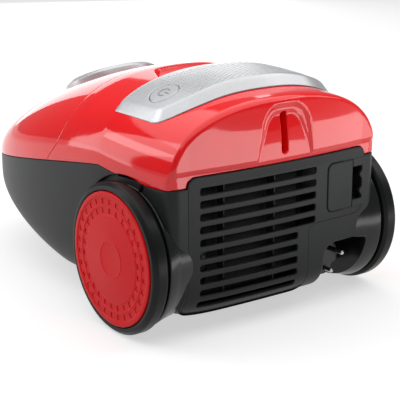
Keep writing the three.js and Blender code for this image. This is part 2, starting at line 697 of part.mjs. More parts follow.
// Plan of the finger well: it flares from a bowed front edge to its full width under the handle.
function wellShape(grow) {
  const half = WELL_HALF_WIDTH + grow;
  const mouth = WELL_MOUTH_HALF + grow;
  const shape = new THREE.Shape();
  shape.moveTo(0, WELL_FRONT_Y - grow);
  shape.quadraticCurveTo(mouth * 0.6, WELL_FRONT_Y - grow, mouth, WELL_MOUTH_Y - grow);
  shape.lineTo(half, HANDLE_FRONT_Y);
  shape.lineTo(half, WELL_REAR_Y + grow);
  shape.lineTo(-half, WELL_REAR_Y + grow);
  shape.lineTo(-half, HANDLE_FRONT_Y);
  shape.lineTo(-mouth, WELL_MOUTH_Y - grow);
  shape.quadraticCurveTo(-mouth * 0.6, WELL_FRONT_Y - grow, 0, WELL_FRONT_Y - grow);
  return shape;
}

const wellHollow = () => prismAlongZ(wellShape(0), WELL_FLOOR_Z, CREST_Z + 20);

function withFingerWell(hood) {
  const tub = common(prismAlongZ(wellShape(SKIN), WELL_FLOOR_Z - SKIN, CREST_Z + 20), bodyOutside);
  return cut(join(hood, tub), wellHollow());
}

// Lid hinge: ears on both mouldings share one axis, just under the surface along the seam.
const HINGE_Z = topHeight(0, LID_SEAM_Y) - LID_HINGE_DEPTH;

// Space that the lid's rear edge sweeps as it swings up.
function lidSweep() {
  const swing = radians(LID_OPEN);
  const rings = [];
  for (let i = -6; i <= 6; i += 1) {
    const x = i * 9;
    const h = Math.max(0.4, topHeight(x, LID_SEAM_Y) - HINGE_Z);
    const g = SEAM_GAP;
    const outline = [
      [-3, 0],
      [h * Math.sin(swing) + g, 0],
      [h * Math.sin(swing) + g, h * Math.cos(swing)],
      [h * Math.tan(swing / 2) + g, h],
      [h * Math.tan(swing / 2) + g, h + 6],
      [-3, h + 6],
    ];
    rings.push(outline.map(([y, z]) => new THREE.Vector3(x, LID_SEAM_Y + y, HINGE_Z + z)));
  }
  return loft(rings);
}

function hingeRod(radius, x0, x1, sides = 12) {
  return rod(radius, x1 - x0, "x", [x0, LID_SEAM_Y, HINGE_Z], sides);
}

function mirroredSpans([near, far]) {
  return [[near, far], [-far, -near]];
}

function hoodEars() {
  const wallY = WELL_MOUTH_Y - 2;
  const arm = [
    [LID_SEAM_Y - 0.5, HINGE_Z - HINGE_EAR_RADIUS],
    [LID_SEAM_Y + HINGE_EAR_RADIUS, HINGE_Z],
    [wallY, HINGE_Z - 1],
    [wallY, HINGE_Z - 12],
    [WELL_FRONT_Y - SKIN, HINGE_Z - 9],
  ];
  return mirroredSpans(HOOD_EAR_X).map(([a, b]) =>
    cut(join(prismAlongX(arm, a, b), hingeRod(HINGE_EAR_RADIUS, a, b)), wellHollow()));
}

function rearHood() {
  const opening = prismAlongY(panelShape(SEAM_GAP), REAR_Y - HEEL_RADIUS - 10, REAR_Y + 20);
  let hood = cut(upperShell, aheadOfLidSeam(SEAM_GAP / 2), lidSweep());
  hood = cut(withFingerWell(withParkRecess(hood)), opening);
  const underSkin = form({ inset: SKIN / 2, ...COARSE });
  const posts = [BUTTON_X - 12, BUTTON_X + 12, -BUTTON_X - 12, -BUTTON_X + 12].map((x) =>
    common(rod(3, CREST_Z - SWITCH_TOP_Z, "z", [x, BUTTON_Y, SWITCH_TOP_Z], 8), underSkin));
  hood = cut(join(hood, ...hoodEars(), ...posts), hingeRod(HINGE_PIN_RADIUS + SEAT_GAP, -40, 40));
  const holeFoot = SPRING_TOP_Z;
  const stemHoles = onBothSides((s) =>
    rod(STEM_RADIUS + RUNNING_GAP, 60, "z", [s * BUTTON_X, BUTTON_Y, holeFoot], 12));
  return cut(hood, ...stemHoles);
}

// ---------- lid, latch and hose inlet ----------
const LATCH_PIVOT = { y: LATCH_TOP_Y + 1, z: topHeight(0, LATCH_TOP_Y) - LATCH_DEPTH };

function latchRod(radius, x0, x1) {
  return rod(radius, x1 - x0, "x", [x0, LATCH_PIVOT.y, LATCH_PIVOT.z], 12);
}

function latchZone(grow) {
  const half = LATCH_HALF_WIDTH + grow;
  return box(-half, half, NOSE_Y - 10, LATCH_TOP_Y + grow, NOSE_Z - 20, CREST_Z);
}

function inletTurned(outline, sides = 24) {
  const points = outline.map(([r, a]) => new THREE.Vector2(r, a));
  points.push(points[0].clone());
  const lathe = new THREE.LatheGeometry(points, sides).rotateX(Math.PI / 2 + radians(INLET_TILT));
  return solid(lathe.translate(0, INLET_Y, topHeight(0, INLET_Y)));
}

function inletRod(radius, from, to, sides = 24) {
  const cylinder = new THREE.CylinderGeometry(radius, radius, to - from, sides);
  cylinder.translate(0, (from + to) / 2, 0).rotateX(Math.PI / 2 + radians(INLET_TILT));
  return solid(cylinder.translate(0, INLET_Y, topHeight(0, INLET_Y)));
}

function bagLid() {
  const lid = cut(common(upperShell, aheadOfLidSeam(-SEAM_GAP / 2)), latchZone(LATCH_GAP));
  const ears = mirroredSpans(LID_EAR_X).map(([a, b]) => {
    const arm = [
      [LID_SEAM_Y, HINGE_Z - HINGE_EAR_RADIUS],
      [LID_SEAM_Y - 14, HINGE_Z - 1],
      [LID_SEAM_Y - 14, HINGE_Z + LID_HINGE_DEPTH - 2.5],
      [LID_SEAM_Y, HINGE_Z + LID_HINGE_DEPTH - 1.6],
    ];
    return join(prismAlongX(arm, a, b), hingeRod(HINGE_EAR_RADIUS, a, b));
  });
  const notches = mirroredSpans(HOOD_EAR_X).map(([a, b]) =>
    hingeRod(HINGE_EAR_RADIUS + RUNNING_GAP, a - RUNNING_GAP, b + RUNNING_GAP));
  const latchSkinZone = cut(latchZone(LATCH_GAP), form({ inset: SKIN + RUNNING_GAP, ...COARSE }));
  const lugs = mirroredSpans([LATCH_EAR_X + RUNNING_GAP, LATCH_LUG_X]).map(([a, b]) => {
    const arm = [
      [LATCH_PIVOT.y, LATCH_PIVOT.z - 2.6],
      [LATCH_PIVOT.y, LATCH_PIVOT.z + 2.6],
      [LATCH_PIVOT.y + 3, LATCH_PIVOT.z + 25],
      [LATCH_PIVOT.y + 12, LATCH_PIVOT.z + 25],
      [LATCH_PIVOT.y + 12, LATCH_PIVOT.z + 4],
    ];
    const lug = join(prismAlongX(arm, a, b), latchRod(2.6, a, b));
    return cut(common(lug, form({ inset: SKIN - 0.6, ...COARSE })), latchSkinZone);
  });
  const bores = [
    hingeRod(HINGE_PIN_RADIUS + SEAT_GAP, -40, 40),
    latchRod(1.2 + SEAT_GAP, -30, 30),
    inletRod(PORT_RADIUS + PORT_WALL + SEAT_GAP, -30, 30),
  ];
  return cut(join(cut(lid, ...notches), ...ears, ...lugs), ...bores);
}

function lidLatch() {
  const skin = cut(common(upperShell, latchZone(0)), box(-60, 60, NOSE_Y - 10, 0, 0, NOSE_Z + 4));
  const { y, z } = LATCH_PIVOT;
  const behindSkin = form({ inset: SKIN + RUNNING_GAP, ...COARSE });
  const barrel = common(latchRod(2.6, -LATCH_EAR_X, LATCH_EAR_X), behindSkin);
  const ear = join(barrel, box(-LATCH_EAR_X, LATCH_EAR_X, y - 6, y - 1, z - 2.6, z + 2.4));
  const tip = CATCH_Y - 3 - 2 * SEAT_GAP;
  const hook = prismAlongX(
    [
      [CATCH_Y - 9, CATCH_Z - 5],
      [CATCH_Y - 9, z - 6],
      [CATCH_Y - 6, z - 2],
      [tip - 1, CATCH_Z + 3],
      [tip - 1, CATCH_Z - 2],
      [tip, CATCH_Z - 3],
      [tip, CATCH_Z - 5],
    ],
    -5,
    5,
  );
  const clear = form({ inset: SKIN - 0.5, ...COARSE });
  return cut(join(skin, common(join(ear, hook), clear)), latchRod(1.2 + SEAT_GAP, -30, 30));
}

function hoseRing() {
  const ring = inletTurned([
    [RING_BORE, -14],
    [RING_RADIUS, -14],
    [RING_RADIUS, RING_HEIGHT - RING_BEVEL],
    [RING_RADIUS - RING_BEVEL, RING_HEIGHT],
    [RING_BORE, RING_HEIGHT - 1],
  ]);
  return cut(ring, raisedBody);
}

function inletCollar() {
  const flange = inletTurned([
    [PORT_RADIUS, -14],
    [RING_BORE - SEAT_GAP, -14],
    [RING_BORE - SEAT_GAP, PORT_LAND_HEIGHT - 1.3],
    [PORT_RADIUS + 6, PORT_LAND_HEIGHT - 2.3],
    [PORT_RADIUS + PORT_LAND, PORT_LAND_HEIGHT],
    [PORT_RADIUS, PORT_LAND_HEIGHT],
  ]);
  const sleeve = inletTurned([
    [PORT_RADIUS, -PORT_DEPTH],
    [PORT_RADIUS + PORT_WALL, -PORT_DEPTH],
    [PORT_RADIUS + PORT_WALL, 3],
    [PORT_RADIUS, 3],
  ]);
  return join(cut(flange, raisedBody), sleeve);
}

function inletSeal() {
  const top = -PORT_DEPTH - SEAT_GAP;
  return inletTurned([
    [PORT_RADIUS - 3, top - 3],
    [PORT_RADIUS + PORT_WALL, top - 3],
    [PORT_RADIUS + PORT_WALL, top],
    [PORT_RADIUS - 3, top],
  ]);
}

// Rubber strip round the inside of the bag chamber's rim.
function lidSeal() {
  const band = cut(
    form({ inset: WALL + SEAT_GAP, ...COARSE, behind: 1 }),
    form({ inset: WALL + SEAT_GAP + 2.2, ...COARSE, behind: 1 }),
  );
  const level = cut(common(band, belowSeam(-1)), belowSeam(-7));
  return common(level, box(-200, 200, NOSE_Y - 10, LID_SEAM_FOOT_Y + 14, 0, 200));
}

// ---------- carry handle and its buttons ----------
// Plan of the grip: a straight front, ends that draw in, and wide rear corners.
function handleRear(x) {
  const reach = Math.abs(x);
  const { along, across, power } = HANDLE_CORNER;
  const shoulder = HANDLE_HALF_LENGTH - HANDLE_TAPER;
  const cornerY = HANDLE_REAR_Y - across;
  if (reach >= shoulder) return mix(cornerY, HANDLE_FRONT_Y, (reach - shoulder) / HANDLE_TAPER);
  const t = clamp01((reach - shoulder + along) / along);
  return cornerY + across * (1 - t ** power) ** (1 / power);
}

function handleEnd(y) {
  const { along, across, power } = HANDLE_CORNER;
  const shoulder = HANDLE_HALF_LENGTH - HANDLE_TAPER;
  const cornerY = HANDLE_REAR_Y - across;
  const along01 = (y - HANDLE_FRONT_Y) / (cornerY - HANDLE_FRONT_Y);
  if (y <= cornerY) return mix(HANDLE_HALF_LENGTH, shoulder, along01);
  const t = clamp01((y - cornerY) / across);
  return shoulder - along + along * (1 - t ** power) ** (1 / power);
}

// Height of the grip's top above the body: it falls to the flanks at the ends and the rear.
function handleRise(x, y) {
  const middle = 1 - (x / HANDLE_HALF_LENGTH) ** 2;
  const front = mix(HANDLE_FRONT_RISE[1], HANDLE_FRONT_RISE[0], middle);
  const rear = mix(HANDLE_REAR_RISE[1], HANDLE_REAR_RISE[0], middle);
  const back = clamp01((y - HANDLE_FRONT_Y) / (HANDLE_REAR_Y - HANDLE_FRONT_Y));
  const flank = clamp01(Math.min(handleEnd(y) - Math.abs(x), handleRear(x) - y) / HANDLE_FLANK);
  return mix(-HANDLE_SINK, mix(front, rear, back), flank);
}

function handleSection(x) {
  const depth = handleRear(x) - HANDLE_FRONT_Y;
  const crease = Math.max(0.7, 1 - HANDLE_FLANK / depth);
  const row = [0, crease / 3, (2 * crease) / 3, crease, 1].map((t) => HANDLE_FRONT_Y + t * depth);
  const top = row.map((y) => [y, handleRise(x, y)]);
  const outline = [[row[0], -HANDLE_ROOT], ...top, [row.at(-1), -HANDLE_ROOT]];
  return outline.map(([y, h]) => new THREE.Vector3(x, y, topHeight(x, y) + h));
}

function handleEnvelope() {
  const reaches = [0, 22, 42, 58, 70, 79, 86, 91, 94, 96.5, 98.4].map((x) => (x / 99) * HANDLE_HALF_LENGTH);
  const xs = [...reaches.slice(1).reverse().map((x) => -x), ...reaches];
  return cut(loft(xs.map(handleSection)), raisedBody);
}

function carryHandle(envelope) {
  const bores = onBothSides((s) =>
    rod(BUTTON_RADIUS + RUNNING_GAP, 60, "z", [s * BUTTON_X, BUTTON_Y, SWITCH_TOP_Z], 20));
  return cut(envelope, ...bores);
}

function pushButton(envelope, side) {
  const place = [side * BUTTON_X, BUTTON_Y];
  const blank = rod(BUTTON_RADIUS, 60, "z", [...place, SWITCH_TOP_Z], 20);
  const cap = cut(common(envelope, blank), form({ lift: BUTTON_LIFT }));
  const capFoot = topHeight(BUTTON_X, BUTTON_Y) + BUTTON_LIFT + 1;
  const stemFoot = SWITCH_TOP_Z + BUTTON_TRAVEL + SEAT_GAP;
  const stem = rod(STEM_RADIUS, capFoot - stemFoot, "z", [...place, stemFoot], 16);
  const collar = rod(SPRING_RADIUS + 1, 1.5, "z", [...place, SPRING_TOP_Z + SEAT_GAP], 20);
  return join(cap, stem, collar);
}

class Helix extends THREE.Curve {
  constructor(radius, turns, height) {
    super();
    Object.assign(this, { radius, turns, height });
  }
  getPoint(t, target = new THREE.Vector3()) {
    const a = 2 * Math.PI * this.turns * t;
    return target.set(this.radius * Math.cos(a), this.radius * Math.sin(a), this.height * t);
  }
}

function coilSpring(radius, turns, height, wire, place) {
  const section = new THREE.Shape().absarc(0, 0, wire, 0, 2 * Math.PI);
  const path = new Helix(radius, turns, height);
  const steps = Math.round(turns * 8);
  const options = { extrudePath: path, steps, curveSegments: 2, bevelEnabled: false };
  const coil = new THREE.ExtrudeGeometry(section, options);
  return solid(coil.translate(...place));
}

function switchModule() {
  const [x, y, top] = [BUTTON_X, BUTTON_Y, SWITCH_TOP_Z - SEAT_GAP];
  const body = box(x - 17, x + 17, y - 9, y + 9, top - 22, top);
  const plungerWell = rod(STEM_RADIUS + 1.5, 4, "z", [x, y, top - 3], 20);
  const terminals = [x - 9, x, x + 9].map((at) =>
    box(at - 1.5, at + 1.5, y - 0.4, y + 0.4, top - 29, top - 21));
  return join(cut(body, plungerWell), ...terminals);
}

// Guide block under the rewind button, with the arm that lets go of the reel.
function rewindBrake() {
  const [x, y, top] = [-BUTTON_X, BUTTON_Y, SWITCH_TOP_Z - SEAT_GAP];
  const block = box(x - 17, x + 17, y - 7, y + 7, top - 8, top);
  const arm = prismAlongX(
    [
      [y - 6, top - 6],
      [y + 6, top - 6],
      [REEL_Y + 14, REEL_Z + REEL_RADIUS + 4],
      [REEL_Y + 4, REEL_Z + REEL_RADIUS + 1],
      [REEL_Y, REEL_Z + REEL_RADIUS + 4],
    ],
    x - 4,
    x + 4,
  );
  return join(cut(block, rod(STEM_RADIUS + 1.5, 4, "z", [x, y, top - 3], 16)), arm);
}

// ---------- exhaust grille ----------
function slotCutters() {
  const cutters = [];
  for (let i = 0; i < SLOT_COUNT; i += 1) {
    const z = SLOT_TOP_Z - i * SLOT_PITCH;
    const h = SLOT_HEIGHT / 2;
    const drawn = i === SLOT_COUNT - 1 ? 5 : i === SLOT_COUNT - 2 ? 1.5 : 0;
    const right = (i < LONG_SLOTS ? LONG_SLOT_RIGHT_X : SHORT_SLOT_RIGHT_X) + drawn;
    const shape = roundedRect(right, SLOT_LEFT_X, z - h, z + h, [0, 0, h - 0.1, h - 0.1]);
    cutters.push(prismAlongY(shape, REAR_Y - HEEL_RADIUS, REAR_Y + 20, 2));
  }
  return cutters;
}

function tabShape(grow) {
  const { left, right, foot, top, corner } = TAB;
  return roundedRect(right - grow, left + grow, foot - grow, top + grow, [0.5, 0.5, corner, corner]);
}

function exhaustGrille() {
  const wall = common(
    cut(bodyOutside, form({ inset: WALL, ...COARSE, ahead: 1, round: 4 })),
    prismAlongY(panelShape(0), REAR_Y - HEEL_RADIUS, REAR_Y + 20),
  );
  const behind = cut(form({ inset: WALL - 0.4, ...COARSE }), form({ inset: WALL + 3.5, ...COARSE }));
  const ribs = RIB_XS.map((x) => {
    const rib = box(x - 1.1, x + 1.1, EXHAUST_Y + SEAT_GAP, REAR_Y + 9, EXHAUST.foot + 2, EXHAUST.top - 2);
    return common(rib, form({ inset: WALL - 0.4, ...COARSE }));
  });
  const padBlock = box(TAB.left + 3, TAB.right - 1, REAR_Y - 20, REAR_Y + 9, TAB.foot - 3, TAB.top + 3);
  const pad = common(behind, padBlock);
  const pocket = common(
    prismAlongY(tabShape(SEAM_GAP), REAR_Y - 10, REAR_Y + 20),
    join(cut(form(), form({ inset: TAB_POCKET, ...COARSE })), box(-200, 0, REAR_Y + 0.2, REAR_Y + 20, 0, 200)),
  );
  const { right, foot, top } = TAB_WINDOW;
  const window = box(right, TAB.right, REAR_Y - 30, REAR_Y + 20, foot, top);
  const hooks = [58, 114].map((z) =>
    box(PANEL_HALF_WIDTH - 5, PANEL_HALF_WIDTH + 4, REAR_Y - WALL - 4.2, REAR_Y - WALL - 2, z - 6, z + 6));
  const stems = [58, 114].map((z) =>
    box(PANEL_HALF_WIDTH - 7, PANEL_HALF_WIDTH - 3, REAR_Y - WALL - 4.2, REAR_Y - 1, z - 6, z + 6));
  return cut(join(wall, pad, ...ribs, ...stems, ...hooks), pocket, window, ...slotCutters());
}

function grilleLatch() {
  const skin = cut(form(), form({ inset: TAB_POCKET - SEAM_GAP, ...COARSE }));
  return common(skin, prismAlongY(tabShape(0), REAR_Y - 12, REAR_Y + 20));
}

function exhaustFilterFrame() {
  const { left, right, foot, top, depth, frame } = EXHAUST;
  const back = EXHAUST_Y - depth;
  const block = box(right, left, back, EXHAUST_Y, foot, top);
  const space = box(right + frame, left - frame, back + 2, EXHAUST_Y + 1, foot + frame, top - frame);
  const vents = box(right + frame + 4, left - frame - 4, back - 1, EXHAUST_Y, foot + 9, top - 9);
  return cut(block, space, vents);
}

function exhaustFilter() {
  const { left, right, foot, top, depth, frame } = EXHAUST;
  const gap = SEAT_GAP;
  const side = frame + gap;
  return box(right + side, left - side, EXHAUST_Y - depth + 2 + gap, EXHAUST_Y - 1, foot + side, top - side);
}

// ---------- wheels ----------
function wheelTurned(side, outline, sides = 32) {
  const place = [side * WHEEL_INNER_X, AXLE_Y, WHEEL_RADIUS];
  return turned(outline.map(([r, a]) => [r, side * a]), "x", place, sides);
}

const HUB_SEAT = TREAD_WIDTH - 3.5; // depth of the wheel's face behind the hub disc

function wheelRim(side) {
  const R = WHEEL_RADIUS;
  const well = HUB_DISC_RADIUS + 0.8;
  return wheelTurned(side, [
    [AXLE_RADIUS + RUNNING_GAP, 0],
    [R - 2.5, 0],
    [R, 2.4],
    [R, TREAD_WIDTH - 3],
    [R - 3, TREAD_WIDTH],
    [well, TREAD_WIDTH],
    [well, HUB_SEAT],
    [AXLE_RADIUS + RUNNING_GAP, HUB_SEAT],
  ]);
}

// Disc with a raised rim, a ring band for the grip pattern and a shallow centre boss.
function hubDisc(side) {
  const R = HUB_DISC_RADIUS;
  const face = TREAD_WIDTH + 0.3;
  return wheelTurned(side, [
    [0, HUB_SEAT + SEAT_GAP],
    [R, HUB_SEAT + SEAT_GAP],
    [R, face + 0.6],
    [R * 0.93, face + 0.6],
    [R * 0.92, face],
    [R * 0.67, face],
    [R * 0.657, face + 0.4],
    [0, face + 0.5],
  ]);
}

function axleStub(side) {
  const inner = DRUM_OUTER_X - 18 + SEAT_GAP;
  const outer = WHEEL_INNER_X + HUB_SEAT - SEAT_GAP;
  return sideRod(side, AXLE_RADIUS, inner, outer, 16);
}

// ---------- front caster ----------
const CASTER_AXLE = { y: CASTER_Y + CASTER_TRAIL, z: CASTER_RADIUS };

function casterRod(radius, half, sides = 12) {
  return rod(radius, 2 * half, "x", [-half, CASTER_AXLE.y, CASTER_AXLE.z], sides);
}

function casterYoke() {
  const plate = rod(12.5, CASTER_PLATE, "z", [0, CASTER_Y, CASTER_PLATE_Z], 18);
  const stemLength = CASTER_STEM_TOP - CASTER_PLATE_Z - 1;
  const stem = rod(CASTER_STEM_RADIUS, stemLength, "z", [0, CASTER_Y, CASTER_PLATE_Z + 1], 12);
  const inner = CASTER_WIDTH / 2 + RUNNING_GAP;
  const arm = [
    [CASTER_Y - 8, CASTER_PLATE_Z + CASTER_PLATE],
    [CASTER_Y + 9, CASTER_PLATE_Z + CASTER_PLATE],
    [CASTER_AXLE.y + 6, CASTER_AXLE.z],
    [CASTER_AXLE.y + 3, CASTER_AXLE.z - 6],
    [CASTER_AXLE.y - 4, CASTER_AXLE.z - 6],
    [CASTER_AXLE.y - 7, CASTER_AXLE.z],
  ];
  const arms = [inner, -inner - 2.5].map((x) => prismAlongX(arm, x, x + 2.5));
  return cut(join(plate, stem, ...arms), casterRod(CASTER_AXLE_RADIUS + SEAT_GAP, 20));
}

function casterWheel() {
  const half = CASTER_WIDTH / 2;
  return turned([
    [CASTER_AXLE_RADIUS + RUNNING_GAP, -half],
    [CASTER_RADIUS - 2, -half],
    [CASTER_RADIUS, -half + 2],
    [CASTER_RADIUS, half - 2],
    [CASTER_RADIUS - 2, half],
    [CASTER_AXLE_RADIUS + RUNNING_GAP, half],
  ], "x", [0, CASTER_AXLE.y, CASTER_AXLE.z], 20);
}

// ---------- dust bag ----------
function softBlock({ y, z, halfWidth, halfLength, halfHeight }) {
  const rings = [];
  for (let i = 1; i < 8; i += 1) {
    const phi = (i / 8) * Math.PI;
    const size = Math.sin(phi) ** 0.6;
    const ringY = y - halfLength * signedPower(Math.cos(phi), 0.6);
    const ring = sectionAngles(8, 8).map((a) => new THREE.Vector3(
      halfWidth * size * signedPower(Math.cos(a), 0.6),
      ringY,
      z + halfHeight * size * signedPower(Math.sin(a), 0.6),
    ));
    rings.push(ring);
  }
  return loft(rings);
}

function dustBag() {
  const { bore, depth, thickness } = BAG_PLATE;
  const neck = inletRod(bore + 4, -depth - 22, -depth - thickness - 2 * SEAT_GAP, 20);
  const mouth = inletRod(bore, -depth - 20, 0, 20);
  return cut(join(softBlock(BAG), neck), mouth);
}

function inletPlate(halfWidth, halfLength, top, thickness) {
  const plate = new THREE.BoxGeometry(2 * halfWidth, 2 * halfLength, thickness);
  plate.translate(0, 0, top - thickness / 2).rotateX(radians(INLET_TILT));
  return solid(plate.translate(0, INLET_Y, topHeight(0, INLET_Y)));
}

function bagCollar() {
  const { halfWidth, halfLength, thickness, depth, bore } = BAG_PLATE;
  return cut(inletPlate(halfWidth, halfLength, -depth, thickness), inletRod(bore, -depth - 10, 0, 20));
}

// Frame that grips the card collar, on two legs that stand out to the chamber's side walls.
function bagHolder() {
  const { halfWidth, halfLength, depth } = BAG_PLATE;
  const { rim, thickness, legX, leg, legHalf } = HOLDER;
  const inside = form({ inset: WALL + SEAT_GAP + 2.6, ...COARSE });
  const outer = inletPlate(halfWidth + rim, halfLength + rim, -depth, thickness);
  const opening = inletPlate(halfWidth + SEAT_GAP, halfLength + SEAT_GAP, 1 - depth, thickness + 4);
  const frame = cut(outer, opening);
  const frameZ = topHeight(0, INLET_Y) - depth;
  const centreY = INLET_Y + depth * Math.sin(radians(INLET_TILT));
  const sides = onBothSides((s) => {
    const [y0, y1] = [centreY - legHalf, centreY + legHalf];
    const arm = box(s * (halfWidth + 2), s * (legX + leg), y0, y1, frameZ - 8, frameZ - 4);
    const post = box(s * legX, s * (legX + leg), y0, y1, BAG.z, frameZ - 4);
    const foot = box(s * legX, s * BODY_WIDTH, y0, y1, BAG.z, BAG.z + leg);
    return common(join(arm, post, foot), inside);
  });
  return join(frame, ...sides);
}

// ---------- suction unit ----------
function bulkheadWindow(radius, y0, y1) {
  return rod(radius, y1 - y0, "y", [MOTOR_X, y0, MOTOR_Z], 20);
}

function motorBulkhead() {
  const inside = form({ inset: WALL + SEAT_GAP, ...COARSE });
  const y1 = BULKHEAD_Y + BULKHEAD_THICKNESS;
  const plate = common(inside, box(-200, 200, BULKHEAD_Y, y1, 0, HINGE_Z - 14));
  const [x0, x1] = [MOTOR_X - FILTER_RADIUS, MOTOR_X + FILTER_RADIUS];
  const bars = [-20, 0, 20].map((d) => box(x0, x1, BULKHEAD_Y, y1, MOTOR_Z + d - 1.2, MOTOR_Z + d + 1.2));
  return join(cut(plate, bulkheadWindow(FILTER_RADIUS - 4, BULKHEAD_Y - 5, y1 + 5)), ...bars);
}

function filterCage() {
  const y0 = BULKHEAD_Y - FILTER_DEPTH - 3;
  const y1 = BULKHEAD_Y - SEAT_GAP;
  const half = FILTER_RADIUS + 4;
  const shell = cut(
    box(MOTOR_X - half, MOTOR_X + half, y0, y1, MOTOR_Z - half, MOTOR_Z + half),
    box(MOTOR_X - half + 3, MOTOR_X + half - 3, y0 + 2.5, y1 + 1, MOTOR_Z - half + 3, MOTOR_Z + half - 3),
  );
  const grid = [];
  for (const dx of [-27, -9, 9, 27]) {
    for (const dz of [-27, -9, 9, 27]) {
      grid.push(box(MOTOR_X + dx - 7, MOTOR_X + dx + 7, y0 - 1, y0 + 4, MOTOR_Z + dz - 7, MOTOR_Z + dz + 7));
    }
  }
  return cut(shell, ...grid);
}

function premotorFilter() {
  const half = FILTER_RADIUS + 1 - SEAT_GAP;
  const y0 = BULKHEAD_Y - FILTER_DEPTH - 0.5 + SEAT_GAP;
  return box(MOTOR_X - half, MOTOR_X + half, y0, BULKHEAD_Y - SEAT_GAP, MOTOR_Z - half, MOTOR_Z + half);
}

function motorTurned(y, outline, sides = 14) {
  return turned(outline, "y", [MOTOR_X, y, MOTOR_Z], sides);
}

function motorRod(radius, y0, y1) {
  return motorTurned(y0, [
    [0, 0],
    [radius, 0],
    [radius, y1 - y0],
    [0, y1 - y0],
  ]);
}

function motorCan() {
  const [R, L, t] = [CAN_RADIUS, CAN_LENGTH, 1.5];
  return motorTurned(CAN_FRONT_Y, [
    [18, 0],
    [R - 2, 0],
    [R, 2],
    [R, L],
    [STATOR_RADIUS, L],
    [STATOR_RADIUS, L - t],
    [R - t, L - t],
    [R - t, t],
    [18, t],
  ]);
}

function motorBody() {
  const L = STATOR_LENGTH;
  return motorTurned(CAN_FRONT_Y + CAN_LENGTH + SEAT_GAP, [
    [SHAFT_RADIUS + RUNNING_GAP, 0],
    [STATOR_RADIUS + 2, 0],
    [STATOR_RADIUS + 2, 6],
    [STATOR_RADIUS - 2, 8],
    [STATOR_RADIUS - 2, L - 14],
    [STATOR_RADIUS - 12, L - 6],
    [TAIL_RADIUS, L - 6],
    [TAIL_RADIUS, L + 8],
    [SHAFT_RADIUS + RUNNING_GAP, L + 8],
  ]);
}

function motorRotor() {
  const tail = CAN_LENGTH + STATOR_LENGTH + 4;
  const hub = motorTurned(CAN_FRONT_Y + 6, [
    [0, 0],
    [9, 0],
    [9, 4],
    [16, 12],
    [44, 16],
    [44, 18],
    [SHAFT_RADIUS, 18],
    [SHAFT_RADIUS, tail],
    [0, tail],
  ]);
  const blades = [];
  for (let i = 0; i < 6; i += 1) {
    const blade = new THREE.BoxGeometry(28, 10, 1.2).translate(29, CAN_FRONT_Y + 6 + 12, 0);
    blade.rotateY((i / 6) * 2 * Math.PI);
    blades.push(solid(blade.translate(MOTOR_X, 0, MOTOR_Z)));
  }
  return join(hub, ...blades);
}

function frontMount() {
  const y0 = BULKHEAD_Y + BULKHEAD_THICKNESS + SEAT_GAP;
  const L = CAN_FRONT_Y - SEAT_GAP - y0;
  return motorTurned(y0, [
    [FILTER_RADIUS - 2, 0],
    [CAN_RADIUS - 1, 0],
    [CAN_RADIUS - 4, L / 2],
    [CAN_RADIUS - 3, L],
    [FILTER_RADIUS - 2, L],
    [FILTER_RADIUS, L / 2],
  ]);
}

function rearMount() {
  const inner = TAIL_RADIUS + SEAT_GAP;
  return motorTurned(MOTOR_END_Y - 6, [
    [inner, 0],
    [MOUNT_RADIUS + 3, 0],
    [MOUNT_RADIUS + 3, 2.7],
    [MOUNT_RADIUS, 2.7],
    [MOUNT_RADIUS, 6.3],
    [MOUNT_RADIUS + 3, 6.3],
    [MOUNT_RADIUS + 3, 9],
    [inner, 9],
  ]);
}

// ---------- cord reel and plug ----------
const REEL_X = PLUG_X - REEL_WIDTH / 2;

function reelTurned(outline, offset = 0, sides = 18) {
  return turned(outline, "x", [REEL_X + offset, REEL_Y, REEL_Z], sides);
}

function reelDrum() {
  const [R, W, h, bore] = [REEL_RADIUS, REEL_WIDTH, REEL_HUB_RADIUS, REEL_AXLE_RADIUS + RUNNING_GAP];
  return reelTurned([
    [bore, 0],
    [R, 0],
    [R, 2],
    [h, 2],
    [h, W - 2],
    [R, W - 2],
    [R, W],
    [bore, W],
  ]);
}

function cordWinding() {
  const half = REEL_WIDTH / 2 - 2 - SEAT_GAP;
  const inner = REEL_HUB_RADIUS + SEAT_GAP;
  return reelTurned([
    [inner, -half],
    [WINDING_RADIUS, -half],
    [WINDING_RADIUS, half],
    [inner, half],
  ], REEL_WIDTH / 2);
}

function cordLead() {
  const from = REEL_Y + 1;
  const to = PLUG_FRONT_Y - PLUG_LENGTH - SEAT_GAP;
  return rod(CORD_RADIUS, to - from, "y", [PLUG_X, from, PLUG_Z], 10);
}

function reelAxle() {
  const from = REEL_X - 5;
  const to = PANEL_STEP_X - 3 - SEAT_GAP;
  return rod(REEL_AXLE_RADIUS, to - from, "x", [from, REEL_Y, REEL_Z], 20);
}

function reelBracket() {
  const x = REEL_X - 4;
  const inside = form({ inset: WALL + SEAT_GAP, ...COARSE });
  const plate = prismAlongX(
    [
      [REEL_Y - 30, 0],
      [REEL_Y + 30, 0],
      [REEL_Y + 12, REEL_Z + 8],
      [REEL_Y, REEL_Z + 13],
      [REEL_Y - 12, REEL_Z + 8],
    ],
    x - 2.5,
    x,
  );
  return cut(common(plate, inside), rod(REEL_AXLE_RADIUS + SEAT_GAP, 20, "x", [x - 10, REEL_Y, REEL_Z], 20));
}

function cordGland() {
  const bore = CORD_RADIUS + RUNNING_GAP;
  return turned([
    [bore, -2],
    [GLAND_RADIUS, -2],
    [GLAND_RADIUS, WALL + SEAT_GAP],
    [GLAND_RADIUS + 2.5, WALL + SEAT_GAP],
    [GLAND_RADIUS + 2.5, WALL + 3],
    [bore, WALL + 3],
  ], "y", [PLUG_X, OUTLET.front - WALL, PLUG_Z], 16);
}

const PIN_DEPTH = 5;

